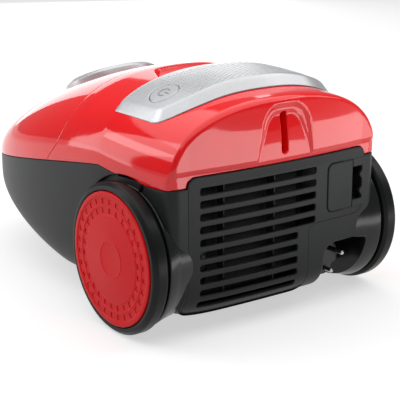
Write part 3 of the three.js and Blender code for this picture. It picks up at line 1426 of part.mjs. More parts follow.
function pinPlace(sign) {
  const a = radians(PIN_TILT);
  const d = (sign * PIN_SPACING) / 2;
  return [PLUG_X + d * Math.cos(a), PLUG_FRONT_Y - PIN_DEPTH + SEAT_GAP, PLUG_Z + d * Math.sin(a)];
}

function plugBody() {
  const [R, L] = [PLUG_RADIUS, PLUG_LENGTH];
  const body = turned([
    [0, 0],
    [CORD_RADIUS + 2.5, 0],
    [CORD_RADIUS + 3.5, 9],
    [R - 5, 13],
    [R - 1, 18],
    [R, 23],
    [R, L - 1.5],
    [R - 1.5, L],
    [0, L],
  ], "y", [PLUG_X, PLUG_FRONT_Y - L, PLUG_Z], 20);
  const sockets = [1, -1].map((s) => {
    const [x, , z] = pinPlace(s);
    return rod(PIN_RADIUS + SEAT_GAP, PIN_DEPTH + 5, "y", [x, PLUG_FRONT_Y - PIN_DEPTH, z], 14);
  });
  return cut(body, ...sockets);
}

function plugPin(sign) {
  const [x, y, z] = pinPlace(sign);
  const L = PIN_LENGTH + PIN_DEPTH - SEAT_GAP;
  const outline = [[0, 0], [PIN_RADIUS, 0], [PIN_RADIUS, L - 1], [PIN_RADIUS - 0.9, L], [0, L]];
  return turned(outline, "y", [x, y, z], 12);
}

// ---------- assembly ----------
const root = new THREE.Group();

function add(name, body, material) {
  const mesh = body.getMesh();
  const geometry = new THREE.BufferGeometry();
  geometry.setAttribute("position", new THREE.BufferAttribute(new Float32Array(mesh.vertProperties), 3));
  geometry.setIndex(new THREE.BufferAttribute(new Uint32Array(mesh.triVerts), 1));
  geometry.computeVertexNormals();
  const node = new THREE.Mesh(geometry, material);
  node.name = name;
  root.add(node);
}

const raisedBody = form({ inset: -SEAT_GAP });
const upperShell = cut(bodyOutside, form({ inset: SKIN, ...COARSE }), belowSeam(SEAM_GAP / 2));

add("base_housing", baseHousing(), blackPlastic());
add("rear_hood", rearHood(), glossRed());
add("bag_lid", bagLid(), glossRed());
add("lid_latch", lidLatch(), glossRed());
add("lid_hinge_pin", hingeRod(HINGE_PIN_RADIUS, -HOOD_EAR_X[1], HOOD_EAR_X[1]), steel());
add("latch_pin", latchRod(1.2, -LATCH_LUG_X, LATCH_LUG_X), steel());
add("lid_seal", lidSeal(), blackRubber());
add("hose_ring", hoseRing(), silverPaint());
add("inlet_collar", inletCollar(), blackPlastic());
add("inlet_seal", inletSeal(), blackRubber());

const envelope = handleEnvelope();
add("carry_handle", carryHandle(envelope), silverPaint());
add("power_button", pushButton(envelope, 1), silverPaint());
add("rewind_button", pushButton(envelope, -1), silverPaint());
onBothSides((s) => {
  const room = SPRING_TOP_Z - SWITCH_TOP_Z;
  const place = [s * BUTTON_X, BUTTON_Y, SWITCH_TOP_Z + SPRING_WIRE + SEAT_GAP];
  const spring = coilSpring(SPRING_RADIUS, 3, room - 2 * (SPRING_WIRE + SEAT_GAP), SPRING_WIRE, place);
  add(s > 0 ? "power_spring" : "rewind_spring", spring, steel());
});
add("switch_module", switchModule(), blackPlastic());
add("rewind_brake", rewindBrake(), greyPlastic());

add("exhaust_grille", exhaustGrille(), blackPlastic());
add("grille_latch", grilleLatch(), blackPlastic());
add("exhaust_filter_frame", exhaustFilterFrame(), greyPlastic());
add("exhaust_filter", exhaustFilter(), blackFoam());

onBothSides((s) => {
  const name = s > 0 ? "left" : "right";
  add(`wheel_rim_${name}`, wheelRim(s), blackPlastic());
  add(`hub_disc_${name}`, hubDisc(s), hubRed());
  add(`axle_stub_${name}`, axleStub(s), steel());
});
add("caster_yoke", casterYoke(), blackPlastic());
add("caster_wheel", casterWheel(), greyPlastic());
add("caster_axle", casterRod(CASTER_AXLE_RADIUS, CASTER_WIDTH / 2 + 3), steel());

add("dust_bag", dustBag(), paper());
add("bag_collar", bagCollar(), card());
add("bag_holder", bagHolder(), greyPlastic());

add("motor_bulkhead", motorBulkhead(), blackPlastic());
add("filter_cage", filterCage(), greyPlastic());
add("premotor_filter", premotorFilter(), blackFoam());
add("motor_can", motorCan(), steel());
add("motor_body", motorBody(), steel());
add("motor_rotor", motorRotor(), steel());
add("motor_mount_front", frontMount(), blackRubber());
add("motor_mount_rear", rearMount(), blackRubber());

add("reel_drum", reelDrum(), greyPlastic());
add("cord_winding", cordWinding(), blackRubber());
add("cord_lead", cordLead(), blackRubber());
add("reel_axle", reelAxle(), steel());
add("reel_bracket", reelBracket(), greyPlastic());
add("cord_gland", cordGland(), blackRubber());
add("plug_body", plugBody(), blackRubber());
add("plug_pin_upper", plugPin(-1), steel());
add("plug_pin_lower", plugPin(1), steel());

export default root;
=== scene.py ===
# %% [markdown]
# # Canister vacuum cleaner
# The machine is a red upper moulding in two parts, a lid over the dust bag and a hood over the
# motor, on a black base. It runs on two drum wheels and a caster, and has a silver grip, a hose
# ring, an exhaust grille and a stowed mains plug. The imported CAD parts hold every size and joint.
# Here the coarse facets are replaced by smooth mouldings with rolled edges, and each gets a finish.

import math

import bmesh
import bpy
import numpy as np
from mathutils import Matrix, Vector, geometry


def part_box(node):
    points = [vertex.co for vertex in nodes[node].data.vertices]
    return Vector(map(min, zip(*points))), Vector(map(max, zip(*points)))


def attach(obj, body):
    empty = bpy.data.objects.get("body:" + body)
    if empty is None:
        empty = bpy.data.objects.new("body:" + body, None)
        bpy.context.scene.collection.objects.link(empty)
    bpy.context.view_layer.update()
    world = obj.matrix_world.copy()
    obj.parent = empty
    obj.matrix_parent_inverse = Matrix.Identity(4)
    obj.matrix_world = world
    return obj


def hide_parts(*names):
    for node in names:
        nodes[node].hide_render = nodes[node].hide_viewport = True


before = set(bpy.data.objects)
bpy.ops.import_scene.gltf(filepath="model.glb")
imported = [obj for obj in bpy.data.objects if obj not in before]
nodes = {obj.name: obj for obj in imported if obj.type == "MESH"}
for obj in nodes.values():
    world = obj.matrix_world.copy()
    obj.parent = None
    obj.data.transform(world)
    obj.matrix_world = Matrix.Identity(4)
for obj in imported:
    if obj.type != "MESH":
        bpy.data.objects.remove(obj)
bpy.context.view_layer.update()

# %% [markdown]
# ## Camera and studio
# A machine like this is shown on a white sweep under large soft boxes. A long lens keeps the
# wheels round. The floor is pale and keeps a soft shadow. A little light of its own lifts it to
# white for the camera and in reflections, and casts none on matt surfaces. The lamps stay at a
# plain level so that colours come out as written.


# %% Camera
def stand(name, data):
    """A new object in the scene that holds the data."""
    thing = bpy.data.objects.new(name, data)
    bpy.context.collection.objects.link(thing)
    return thing


CAMERA_PLACE, CAMERA_TARGET = (0.6736, 1.0026, 0.4154), (0, 0.078, 0.080)
LENS_MM, SENSOR_MM = 117, 36
camera = stand("camera", bpy.data.cameras.new("camera"))
camera.data.lens, camera.data.sensor_width = LENS_MM, SENSOR_MM
camera.location = CAMERA_PLACE
aim = Vector(CAMERA_TARGET) - camera.location
camera.rotation_euler = aim.to_track_quat("-Z", "Y").to_euler()
bpy.context.scene.camera = camera
print("camera stands", round(aim.length, 3), "m from the machine")


# %% Colours and nodes
def srgb(code):
    """A hex colour as the linear values that Blender's sockets take."""
    parts = [int(code[i : i + 2], 16) / 255 for i in (1, 3, 5)]
    return (*[c / 12.92 if c <= 0.04045 else ((c + 0.055) / 1.055) ** 2.4 for c in parts], 1.0)


def add(tree, kind, inputs=(), **settings):
    """Adds a node to a tree: settings are its properties, inputs are values or sockets to link."""
    node = tree.nodes.new(kind)
    for name, value in settings.items():
        setattr(node, name, value)
    for name, value in dict(inputs).items():
        if isinstance(value, bpy.types.NodeSocket):
            tree.links.new(value, node.inputs[name])
        else:
            node.inputs[name].default_value = value
    return node


def fresh(name):
    """An empty material and its node tree."""
    material = bpy.data.materials.new(name)
    material.use_nodes = True
    material.node_tree.nodes.clear()
    return material, material.node_tree


# %% World and lamps
WORLD_STRENGTH = 0.25  # a faint even fill
world = bpy.data.worlds.new("studio")
bpy.context.scene.world = world
world.use_nodes = True
tree = world.node_tree
tree.nodes.clear()
sky = add(tree, "ShaderNodeBackground", {"Color": (1, 1, 1, 1), "Strength": WORLD_STRENGTH})
add(tree, "ShaderNodeOutputWorld", {"Surface": sky.outputs[0]})
bpy.context.scene.view_settings.view_transform = "Standard"


def soft_box(name, place, target, width, height, watts):
    """A rectangular soft box that faces its target."""
    lamp = bpy.data.lights.new(name, "AREA")
    lamp.shape, lamp.size, lamp.size_y, lamp.energy = "RECTANGLE", width, height, watts
    holder = stand(name, lamp)
    holder.location = place
    holder.rotation_euler = (Vector(target) - Vector(place)).to_track_quat("-Z", "Y").to_euler()
    holder.visible_camera = False


soft_box("top_box", (0, 0, 1.3), (0, 0, 0), 2.3, 2.3, 24)
soft_box("back_box", (-0.80, -1.62, 0.50), (0, 0, 0.15), 1.10, 0.95, 6.0)
soft_box("strip_box", (1.20, -1.34, 0.50), (0, 0, 0.12), 0.62, 1.10, 5.4)
soft_box("low_box", (-0.40, 0.80, 0.005), (-0.40, 0.80, 1), 0.75, 0.75, 6.0)
soft_box("side_box", (1.20, -0.78, 1.02), (0, 0.1, 0.1), 0.85, 0.80, 5.0)
soft_box("far_box", (-1.33, 0.55, 1.20), (0, 0.1, 0.15), 0.75, 0.75, 3.4)

# %% Floor
FLOOR_GLOW, FLOOR_REACH = 0.56, 30  # strength of its own light; metres to its edge
material, tree = fresh("white_paper_sweep")
path = add(tree, "ShaderNodeLightPath").outputs
seen = path["Is Camera Ray"]
for ray in ("Is Transmission Ray", "Is Glossy Ray"):
    seen = add(tree, "ShaderNodeMath", {0: seen, 1: path[ray]}, operation="MAXIMUM").outputs[0]
lift = add(tree, "ShaderNodeMath", {0: seen, 1: FLOOR_GLOW}, operation="MULTIPLY")
base = add(tree, "ShaderNodeBsdfDiffuse", {"Color": srgb("#bcbcbc")})
glow = add(tree, "ShaderNodeEmission", {"Color": (1, 1, 1, 1), "Strength": lift.outputs[0]})
both = add(tree, "ShaderNodeAddShader", {0: base.outputs[0], 1: glow.outputs[0]})
add(tree, "ShaderNodeOutputMaterial", {"Surface": both.outputs[0]})
mesh = bpy.data.meshes.new("floor")
corners = [(a * FLOOR_REACH, b * FLOOR_REACH, 0) for a, b in ((-1, -1), (1, -1), (1, 1), (-1, 1))]
mesh.from_pydata(corners, [], [(0, 1, 2, 3)])
mesh.materials.append(material)
floor = stand("floor", mesh)
print("studio ready")

# %% [markdown]
# ## Finishes
# Nearly everything outside is injection-moulded ABS. The red is polished in the tool and reads wet;
# the black is eroded to a fine even sparkle; the grip and ring are sprayed silver. Each finish is
# one Principled shader with noise for what moulding, spraying or wear leaves, at its real scale.
# Object coordinates are in metres, so a noise scale is about one over the size of its grain.


# %% Moulded and sprayed finishes
def finish(name, colour, other, rough, grain_mm, relief_mm, patch_mm=35, metal=0.0, spread=0.06,
           ior=1.45):
    """Patches of two near colours, uneven gloss and a grain that stands up by relief_mm."""
    material, tree = fresh(name)
    place = add(tree, "ShaderNodeTexCoord").outputs["Object"]
    patch = add(tree, "ShaderNodeTexNoise",
                {"Vector": place, "Scale": 1000 / patch_mm, "Detail": 3.0})
    grain = add(tree, "ShaderNodeTexNoise",
                {"Vector": place, "Scale": 1000 / grain_mm, "Detail": 2.0})
    ramp = add(tree, "ShaderNodeValToRGB", {"Fac": patch.outputs["Fac"]})
    for stop, at, shade in zip(ramp.color_ramp.elements, (0.35, 0.65), (colour, other)):
        stop.position, stop.color = at, srgb(shade)
    gloss = add(tree, "ShaderNodeMapRange", {
        "Value": grain.outputs["Fac"], "From Min": 0.3, "From Max": 0.7, "To Min": rough - spread,
        "To Max": rough + spread})
    bump = add(tree, "ShaderNodeBump", {
        "Height": grain.outputs["Fac"], "Strength": 1.0, "Distance": relief_mm / 1000})
    shader = add(tree, "ShaderNodeBsdfPrincipled", {
        "Base Color": ramp.outputs["Color"], "Roughness": gloss.outputs["Result"],
        "Normal": bump.outputs[0], "Metallic": metal})
    if not metal:
        shader.inputs["IOR"].default_value = ior
    add(tree, "ShaderNodeOutputMaterial", {"Surface": shader.outputs[0]})
    return material


# Polished ABS: a deep even red under a sharp reflection, with the faintest flow waves.
red_gloss = finish("polished_red_abs", "#ec0b13", "#f00f17", 0.06, 6, 0.003, spread=0.015, ior=1.50)
# Satin ABS: the hub cap is eroded lightly, so its reflection spreads into a soft sheen.
red_satin = finish("satin_red_abs", "#d81219", "#dc161d", 0.34, 0.5, 0.010, ior=1.22)
# Spark-eroded ABS: a dark grey that breaks every highlight into a fine sparkle.
black_grain = finish("spark_eroded_black_abs", "#292a2a", "#2c2d2d", 0.40, 0.55, 0.030, ior=1.24)
# The drums behind the wheels are polished black, so they carry long soft reflections.
black_gloss = finish("polished_black_abs", "#141515", "#181919", 0.20, 2.5, 0.006, spread=0.03,
                     ior=1.40)
# Sprayed silver: fine flakes in lacquer, bright in the light and grey in the shade.
silver = finish("sprayed_silver_lacquer", "#bfc1c3", "#c5c7c9", 0.32, 0.45, 0.004, metal=0.55,
                spread=0.08)
# Soft tread: a thermoplastic rubber, almost black, with a dull broad highlight.
tread = finish("moulded_tread_rubber", "#151716", "#191b1a", 0.32, 0.8, 0.012, ior=1.25)
# Plug moulding: soft PVC, a little greyer and glossier than the rubber.
plug_black = finish("soft_pvc_black", "#2b2b2b", "#303030", 0.36, 0.7, 0.012)
# Rubber: matt black with a dusty bloom.
rubber = finish("matt_black_rubber", "#1a1a1a", "#222222", 0.68, 0.7, 0.020, patch_mm=9)
# Plain grey ABS of the hidden fittings: semi-matt.
grey = finish("plain_grey_abs", "#85888b", "#8c8f92", 0.45, 0.6, 0.015)
# Zinc-plated steel: a bright grey metal, slightly clouded by the passivation.
zinc = finish("zinc_plated_steel", "#b3b6b9", "#c2c4c6", 0.28, 1.6, 0.004, patch_mm=6, metal=1.0)
# Carbon-filled polypropylene of the filter frame: dull black, a shade lighter in random patches.
soot = finish("carbon_black_polypropylene", "#060606", "#0b0b0b", 0.75, 0.7, 0.012, ior=1.2)
# Open-cell foam: black, with pores that swallow the light.
foam = finish("open_cell_foam", "#080808", "#101010", 0.95, 1.1, 0.35, patch_mm=3)
# Filter fleece: off-white paper cloth with a loose felted surface.
fleece = finish("filter_fleece", "#d6cfbf", "#e2dccd", 0.90, 0.9, 0.12, patch_mm=5)
# Kraft board: a stiff brown card with a fibrous face.
board = finish("kraft_board", "#a98b60", "#b99c70", 0.85, 0.7, 0.06, patch_mm=7)
print(len(bpy.data.materials), "finishes")

# %% [markdown]
# ## Sheets, rims and shells
# A moulding is a thin shell that follows a smooth form. It could be cut from a solid with Booleans,
# but those leave sharp, ragged edges that catch no light. Here a dense sheet of triangles is scored
# and trimmed along exact lines, and corners close to a line slide onto it, so the edge runs clean.
# The sheet then gets an inner face and a rolled rim, as a real moulding has, and is closed.


# %% Sheets
def directions(vectors):
    """Each vector at unit length."""
    return vectors / np.maximum(np.linalg.norm(vectors, axis=1, keepdims=True), 1e-12)


def sides(faces):
    """The three edges of every triangle."""
    return np.vstack([faces[:, [0, 1]], faces[:, [1, 2]], faces[:, [2, 0]]])


def band(first, second, index):
    """Triangles that join two rings of points along the edges in index."""
    a0, b0 = first[index].T
    a1, b1 = second[index].T
    return [np.stack([b0, a0, a1], 1), np.stack([b0, a1, b1], 1)]


class Sheet:
    """An open surface in millimetres: points, and triangles that face outwards."""

    def __init__(self, points, faces):
        self.points = np.asarray(points, float)
        self.faces = np.asarray(faces, int)
        self.fixed = np.zeros(len(self.points), bool)

    def copy(self):
        twin = Sheet(self.points.copy(), self.faces.copy())
        twin.fixed = self.fixed.copy()
        return twin

    def normals(self):
        corners = self.points[self.faces]
        across = np.cross(corners[:, 1] - corners[:, 0], corners[:, 2] - corners[:, 0])
        total = np.zeros_like(self.points)
        for k in range(3):
            np.add.at(total, self.faces[:, k], across)
        return directions(total)

    def rim(self):
        """Edges with a face on their left only."""
        edges = sides(self.faces)
        size = len(self.points)
        forward, backward = edges[:, 0] * size + edges[:, 1], edges[:, 1] * size + edges[:, 0]
        return edges[~np.isin(forward, backward)]

    def score(self, value):
        """Splits triangles along value = 0, after corners close to the line have moved onto it."""
        v = value(self.points)
        v[np.abs(v) < 1e-7] = 0
        faces = self.faces
        edges = np.unique(np.sort(sides(faces), axis=1), axis=0)
        a, b = edges[v[edges[:, 0]] * v[edges[:, 1]] < 0].T
        t = v[a] / (v[a] - v[b])
        who, toward = np.concatenate([a, b]), np.concatenate([b, a])
        share = np.concatenate([t, 1 - t])
        good = (share < 0.3) & (~self.fixed[who] | self.fixed[toward])
        order = np.argsort(-share[good], kind="stable")
        who, toward, share = who[good][order], toward[good][order], share[good][order]
        spots = self.points[who] + share[:, None] * (self.points[toward] - self.points[who])
        self.points[who] = spots
        v[who] = 0
        self.fixed[who] = True
        sign = np.sign(v)
        mixed = (sign[faces].max(axis=1) > 0) & (sign[faces].min(axis=1) < 0)
        self.fixed |= v == 0
        edges = edges[v[edges[:, 0]] * v[edges[:, 1]] < 0]
        if not len(edges):
            return v
        a, b = edges.T
        size = len(self.points)
        keys = a * size + b
        t = (v[a] / (v[a] - v[b]))[:, None]
        between = self.points[a] + t * (self.points[b] - self.points[a])
        self.points = np.vstack([self.points, between])
        self.fixed = np.concatenate([self.fixed, np.ones(len(a), bool)])
        v = np.concatenate([v, np.zeros(len(a))])

        def middle(p, q):
            low, high = np.minimum(p, q), np.maximum(p, q)
            return size + np.searchsorted(keys, low * size + high)

        rest = faces[mixed]
        signs = sign[rest]
        through = (signs == 0).any(axis=1)
        alone = signs == -np.sign(signs.sum(axis=1))[:, None]
        lone = np.where(through, np.argmax(signs == 0, axis=1), np.argmax(alone, axis=1))
        rows = np.arange(len(rest))
        o, p, q = rest[rows, lone], rest[rows, (lone + 1) % 3], rest[rows, (lone + 2) % 3]
        m = middle(p[through], q[through])
        o1, p1, q1 = o[through], p[through], q[through]
        o2, p2, q2 = o[~through], p[~through], q[~through]
        m1, m2 = middle(o2, p2), middle(o2, q2)
        self.faces = np.vstack([
            faces[~mixed],
            np.stack([o1, p1, m], 1), np.stack([o1, m, q1], 1),
            np.stack([o2, m1, m2], 1), np.stack([m1, p2, q2], 1), np.stack([m1, q2, m2], 1),
        ])
        return v

    def trim(self, value):
        """Keeps the part where value is above 0."""
        v = self.score(value)
        held = v[self.faces]
        flat = (held == 0).all(axis=1)
        keep = held.max(axis=1) > 0
        if flat.any():
            keep[flat] = value(self.points[self.faces[flat]].mean(axis=1)) > 0
        self.faces = self.faces[keep]
        used, index = np.unique(self.faces, return_inverse=True)
        self.points, self.fixed = self.points[used], self.fixed[used]
        self.faces = index.reshape(-1, 3)
        return self


def outward(sheet, edges, normals):
    """At each rim point, the direction in the surface that leads off the sheet."""
    run = directions(sheet.points[edges[:, 1]] - sheet.points[edges[:, 0]])
    total = np.zeros_like(sheet.points)
    for k in range(2):
        np.add.at(total, edges[:, k], np.cross(run, normals[edges[:, k]]))
    return directions(total)


def sink(sheet, near, rings, cap):
    """Carries the rim where near(points) holds inwards through rings, then closes it on a point."""
    edges = sheet.rim()
    edges = edges[near(sheet.points[edges[:, 0]]) & near(sheet.points[edges[:, 1]])]
    normals = sheet.normals()
    away = outward(sheet, edges, normals)
    who, index = np.unique(edges, return_inverse=True)
    index = index.reshape(-1, 2)
    start, first = sheet.points[who], who
    layers, faces = [sheet.points], [sheet.faces]
    total = len(sheet.points)
    for ring in rings:
        spots = ring(start, away[who], normals[who])
        layers.append(spots)
        second = total + np.arange(len(who))
        total += len(who)
        faces += band(first, second, index)
        first = second
    layers.append(np.asarray([cap], float))
    a, b = first[index[:, 0]], first[index[:, 1]]
    starts, ends = np.setdiff1d(a, b), np.setdiff1d(b, a)
    if len(starts) == 1:
        a, b = np.append(a, ends), np.append(b, starts)
    faces.append(np.stack([b, a, np.full(len(a), total)], 1))
    sheet.points, sheet.faces = np.vstack(layers), np.vstack(faces)
    sheet.fixed = np.ones(len(sheet.points), bool)
    return sheet


def rolled(radius, steps=3):
    """Rings that roll over an edge from the face to the wall behind it."""
    turns = [math.radians(90 * (k + 1) / steps) for k in range(steps)]
    return [
        lambda p, t, n, a=a: p + radius * (math.sin(a) * t - (1 - math.cos(a)) * n) for a in turns]


def flat_ring(axis, level, inset):
    """A ring carried onto the plane at a level of one axis, set off by inset."""
    kept = np.arange(3) != axis
    return lambda p, t, n: (p + inset * t) * kept + level * ~kept


def shell(sheet, wall=2.6, roll=0.45, under=None, steps=3):
    """Closes a sheet with a rolled rim and an inner face, wall behind it or at given points."""
    normals = sheet.normals()
    edges = sheet.rim()
    away = outward(sheet, edges, normals)
    who, index = np.unique(edges, return_inverse=True)
    index = index.reshape(-1, 2)
    inner = sheet.points - wall * normals if under is None else under
    outer = sheet.points.copy()
    outer[who] -= roll * away[who]
    size = len(sheet.points)
    layers, faces = [outer, inner], [sheet.faces, sheet.faces[:, ::-1] + size]
    first = who
    for k in range(1, steps + 2):
        a = math.radians(90 * k / steps)
        if k <= steps:
            back = (1 - math.sin(a)) * away[who] + (1 - math.cos(a)) * normals[who]
            spots = sheet.points[who] - roll * back
            second = sum(len(layer) for layer in layers) + np.arange(len(who))
            layers.append(spots)
        else:
            second = who + size
        faces += band(first, second, index)
        first = second
    return np.vstack(layers), np.vstack(faces)


# %% Finished pieces
def piece(name, points, faces, material, body, slot, *stands_for, sharp=38):
    """A closed mesh in place, smooth except where it turns sharply, riding on its body."""
    mesh = bpy.data.meshes.new(name)
    mesh.from_pydata((np.asarray(points) / 1000).tolist(), [], [list(map(int, f)) for f in faces])
    mesh.validate()
    mesh.shade_smooth()
    mesh.set_sharp_from_angle(angle=math.radians(sharp))
    mesh.materials.append(material)
    thing = stand(name, mesh)
    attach(thing, body)
    if stands_for:
        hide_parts(*stands_for)
    report(thing)
    return thing


def report(thing):
    """Prints the triangles of a piece and its open edges, which should be none."""
    mesh = thing.data
    uses = np.zeros(len(mesh.edges), int)
    loops = np.zeros(len(mesh.loops), int)
    mesh.loops.foreach_get("edge_index", loops)
    np.add.at(uses, loops, 1)
    mesh.calc_loop_triangles()
    print(thing.name, len(mesh.loop_triangles), "triangles,", int((uses != 2).sum()), "open edges")


# %% [markdown]
# ## Outlines
# Panels, slots and recesses are outlines with rounded corners. The signed distance to an outline,
# positive inside it, is all that trimming and scoring need, and an offset is then a subtraction.


# %% Outlines
def outline(corners, step=6.0):
    """Points round a polygon whose corners are (a, b, radius)."""
    points = []
    for k, (x, y, r) in enumerate(corners):
        here = np.array([x, y], float)
        back = np.array(corners[k - 1][:2]) - here
        on = np.array(corners[(k + 1) % len(corners)][:2]) - here
        back, on = back / np.linalg.norm(back), on / np.linalg.norm(on)
        half = math.acos(max(-1, min(1, float(back @ on)))) / 2
        if r == 0:
            points.append(here)
            continue
        reach = r / math.tan(half)
        centre = here + (back + on) / np.linalg.norm(back + on) * r / math.sin(half)
        for t in np.linspace(0, 1, max(4, int(r * 1.2) + 3)):
            spot = here + back * reach * (1 - t) ** 2 + on * reach * t**2
            away = spot - centre
            points.append(centre + away / np.linalg.norm(away) * r)
    return np.array(points)


def inside(points, a, b):
    """Signed distance of places (a, b) to a closed outline, positive inside."""
    spots = np.stack([a, b], 1)
    best = np.full(len(spots), 1e9)
    within = np.zeros(len(spots), bool)
    for p, q in zip(points, np.roll(points, -1, axis=0)):
        run = q - p
        t = np.clip(((spots - p) @ run) / max(run @ run, 1e-12), 0, 1)
        best = np.minimum(best, np.linalg.norm(spots - p - t[:, None] * run, axis=1))
        crosses = (p[1] > b) != (q[1] > b)
        with np.errstate(divide="ignore", invalid="ignore"):
            within ^= crosses & (a < (q[0] - p[0]) * (b - p[1]) / (q[1] - p[1]) + p[0])
    return np.where(within, best, -best)


def rectangle(x0, x1, z0, z1, radius):
    return outline([(x0, z0, radius), (x1, z0, radius), (x1, z1, radius), (x0, z1, radius)])

# %% [markdown]
# ## The body's form
# Red and black mouldings share one form: superellipse sections along the machine, rounded at the
# rear, with a seam that climbs from the nose and dips over the wheels. The real one was surfaced as
# one shell and then parted, so its highlights run on across every seam. The same is done here: one
# closed sheet is made, and each moulding is trimmed from a copy of it.

# %% Sizes of the form
NOSE_Y, REAR_Y, AXLE_Y, AXLE_Z = -200.0, 191.0, 135.0, 65.0
WIDEST_Y, CREST_Y, KEEL_Y, SEAM_PEAK_Y = 75.0, 46.0, 20.0, 95.0
HALF_WIDTH, REAR_HALF = 119.0, 110.5
CREST_Z, REAR_CREST_Z, BELLY_Z, NOSE_Z, SEAM_Z = 201.5, 196.5, 17.0, 80.0, 135.5
CREASE, CORNER, HEEL = 4.0, 9.0, 30.0
SEAM_GAP = 0.5


def unit(t):
    """t held between 0 and 1."""
    return np.clip(t, 0, 1)


def mix(a, b, t):
    return a + (b - a) * t


def smooth(t):
    """An S curve from 0 to 1."""
    return unit(t) ** 2 * (3 - 2 * unit(t))


# %% Sections of the form
def seam_height(y):
    climb = unit((SEAM_PEAK_Y - y) / (SEAM_PEAK_Y - NOSE_Y)) ** 1.08
    return mix(SEAM_Z, NOSE_Z + 2, climb) - 5 * np.sin(np.pi * unit((y - SEAM_PEAK_Y) / 130))


def station(y):
    """Half width, seam, crest and belly heights at y."""
    ahead = unit((WIDEST_Y - y) / (WIDEST_Y - NOSE_Y))
    behind = unit((y - WIDEST_Y) / (REAR_Y - WIDEST_Y))
    half = np.where(y < WIDEST_Y, HALF_WIDTH * (1 - ahead**2.9) ** 0.45,
                    mix(HALF_WIDTH, REAR_HALF, behind**2))
    rise = unit((CREST_Y - y) / (CREST_Y - NOSE_Y))
    fall = unit((y - CREST_Y) / (REAR_Y - CREST_Y))
    front = NOSE_Z + (CREST_Z - NOSE_Z) * (1 - rise**1.4) ** 0.72
    crest = np.where(y < CREST_Y, front, mix(CREST_Z, REAR_CREST_Z, fall**2))
    seam = seam_height(y)
    keel = unit((KEEL_Y - y) / (KEEL_Y - NOSE_Y)) ** 1.35
    belly = mix(BELLY_Z, NOSE_Z, keel) - 4 * smooth((y - 60) / 100)
    return half, seam, np.maximum(crest, seam + 0.5), np.minimum(belly, seam - 0.5)


def section(y, angle):
    """Point at an angle round the section: 0 at the +X seam, a quarter turn at the crest."""
    half, seam, crest, belly = station(y)
    c, s = np.cos(angle), np.sin(angle)
    power = np.where(s >= 0, 2 / 2.4, 2 / 7)
    reach = np.where(s >= 0, crest - seam, seam - belly)
    x = half * np.sign(c) * np.abs(c) ** power
    return np.stack([x, y + 0 * x, seam + reach * np.sign(s) * np.abs(s) ** power], -1)


def top_height(x, y):
    half, seam, crest, _ = station(y)
    return seam + (crest - seam) * (1 - unit(np.abs(x) / half) ** 2.4) ** (1 / 2.4)


def crowned(p, share):
    across = np.maximum(0, 1 - (p[..., 0] / 93) ** 2)
    low = seam_height(np.array(REAR_Y))
    up = unit((p[..., 2] - low) / (REAR_CREST_Z - low))
    p[..., 1] += share * across * (4 + 3 * np.sin(np.pi * up))
    return p


def rear_edge(angle, turn):
    """Rounded rear edge: a tight crease over the red, wide corners and a wide heel on the black."""
    up = np.sin(angle)
    crease = mix(CORNER, CREASE, smooth(np.minimum(angle, np.pi - angle) / 0.25))
    side = np.where(up >= 0, crease, CORNER)
    height = np.where(up >= 0, CREASE, HEEL)
    depth = np.where(up >= 0, crease, mix(CORNER, HEEL, smooth(-up * 1.4)))
    y = REAR_Y - depth * (1 - np.sin(turn))
    half, seam, crest, belly = station(y)
    p = section(y, angle)
    shrink = 1 - np.cos(turn)
    reach = np.where(up >= 0, crest - seam, seam - belly)
    p[..., 0] *= 1 - side * shrink / half
    p[..., 2] = seam + (p[..., 2] - seam) * (1 - height * shrink / reach)
    return crowned(p, np.sin(turn)), depth


# %% The whole form as one closed sheet
def even_angles(count, below):
    """Angles over half a section whose points are evenly spaced at a middle station."""
    w = np.linspace(0, 1, 6001) ** 5 * np.pi / 2
    fine = np.concatenate([w, np.pi - w[-2::-1]]) + (np.pi if below else 0)
    spots = section(np.full(len(fine), 60.0), fine)
    run = np.concatenate([[0], np.cumsum(np.linalg.norm(np.diff(spots, axis=0), axis=1))])
    return np.interp(np.linspace(0, run[-1], count + 1), run, fine)


def even_stations(step, angles):
    fine = NOSE_Y + 360 * np.linspace(0.002, 1, 3001) ** 2.2
    spots = section(fine[:, None], angles[None, ::8])
    steps = np.linalg.norm(np.diff(spots, axis=0), axis=2).max(axis=1)
    run = np.concatenate([[0], np.cumsum(steps)])
    return np.interp(np.linspace(0, run[-1], int(run[-1] / step)), run, fine)


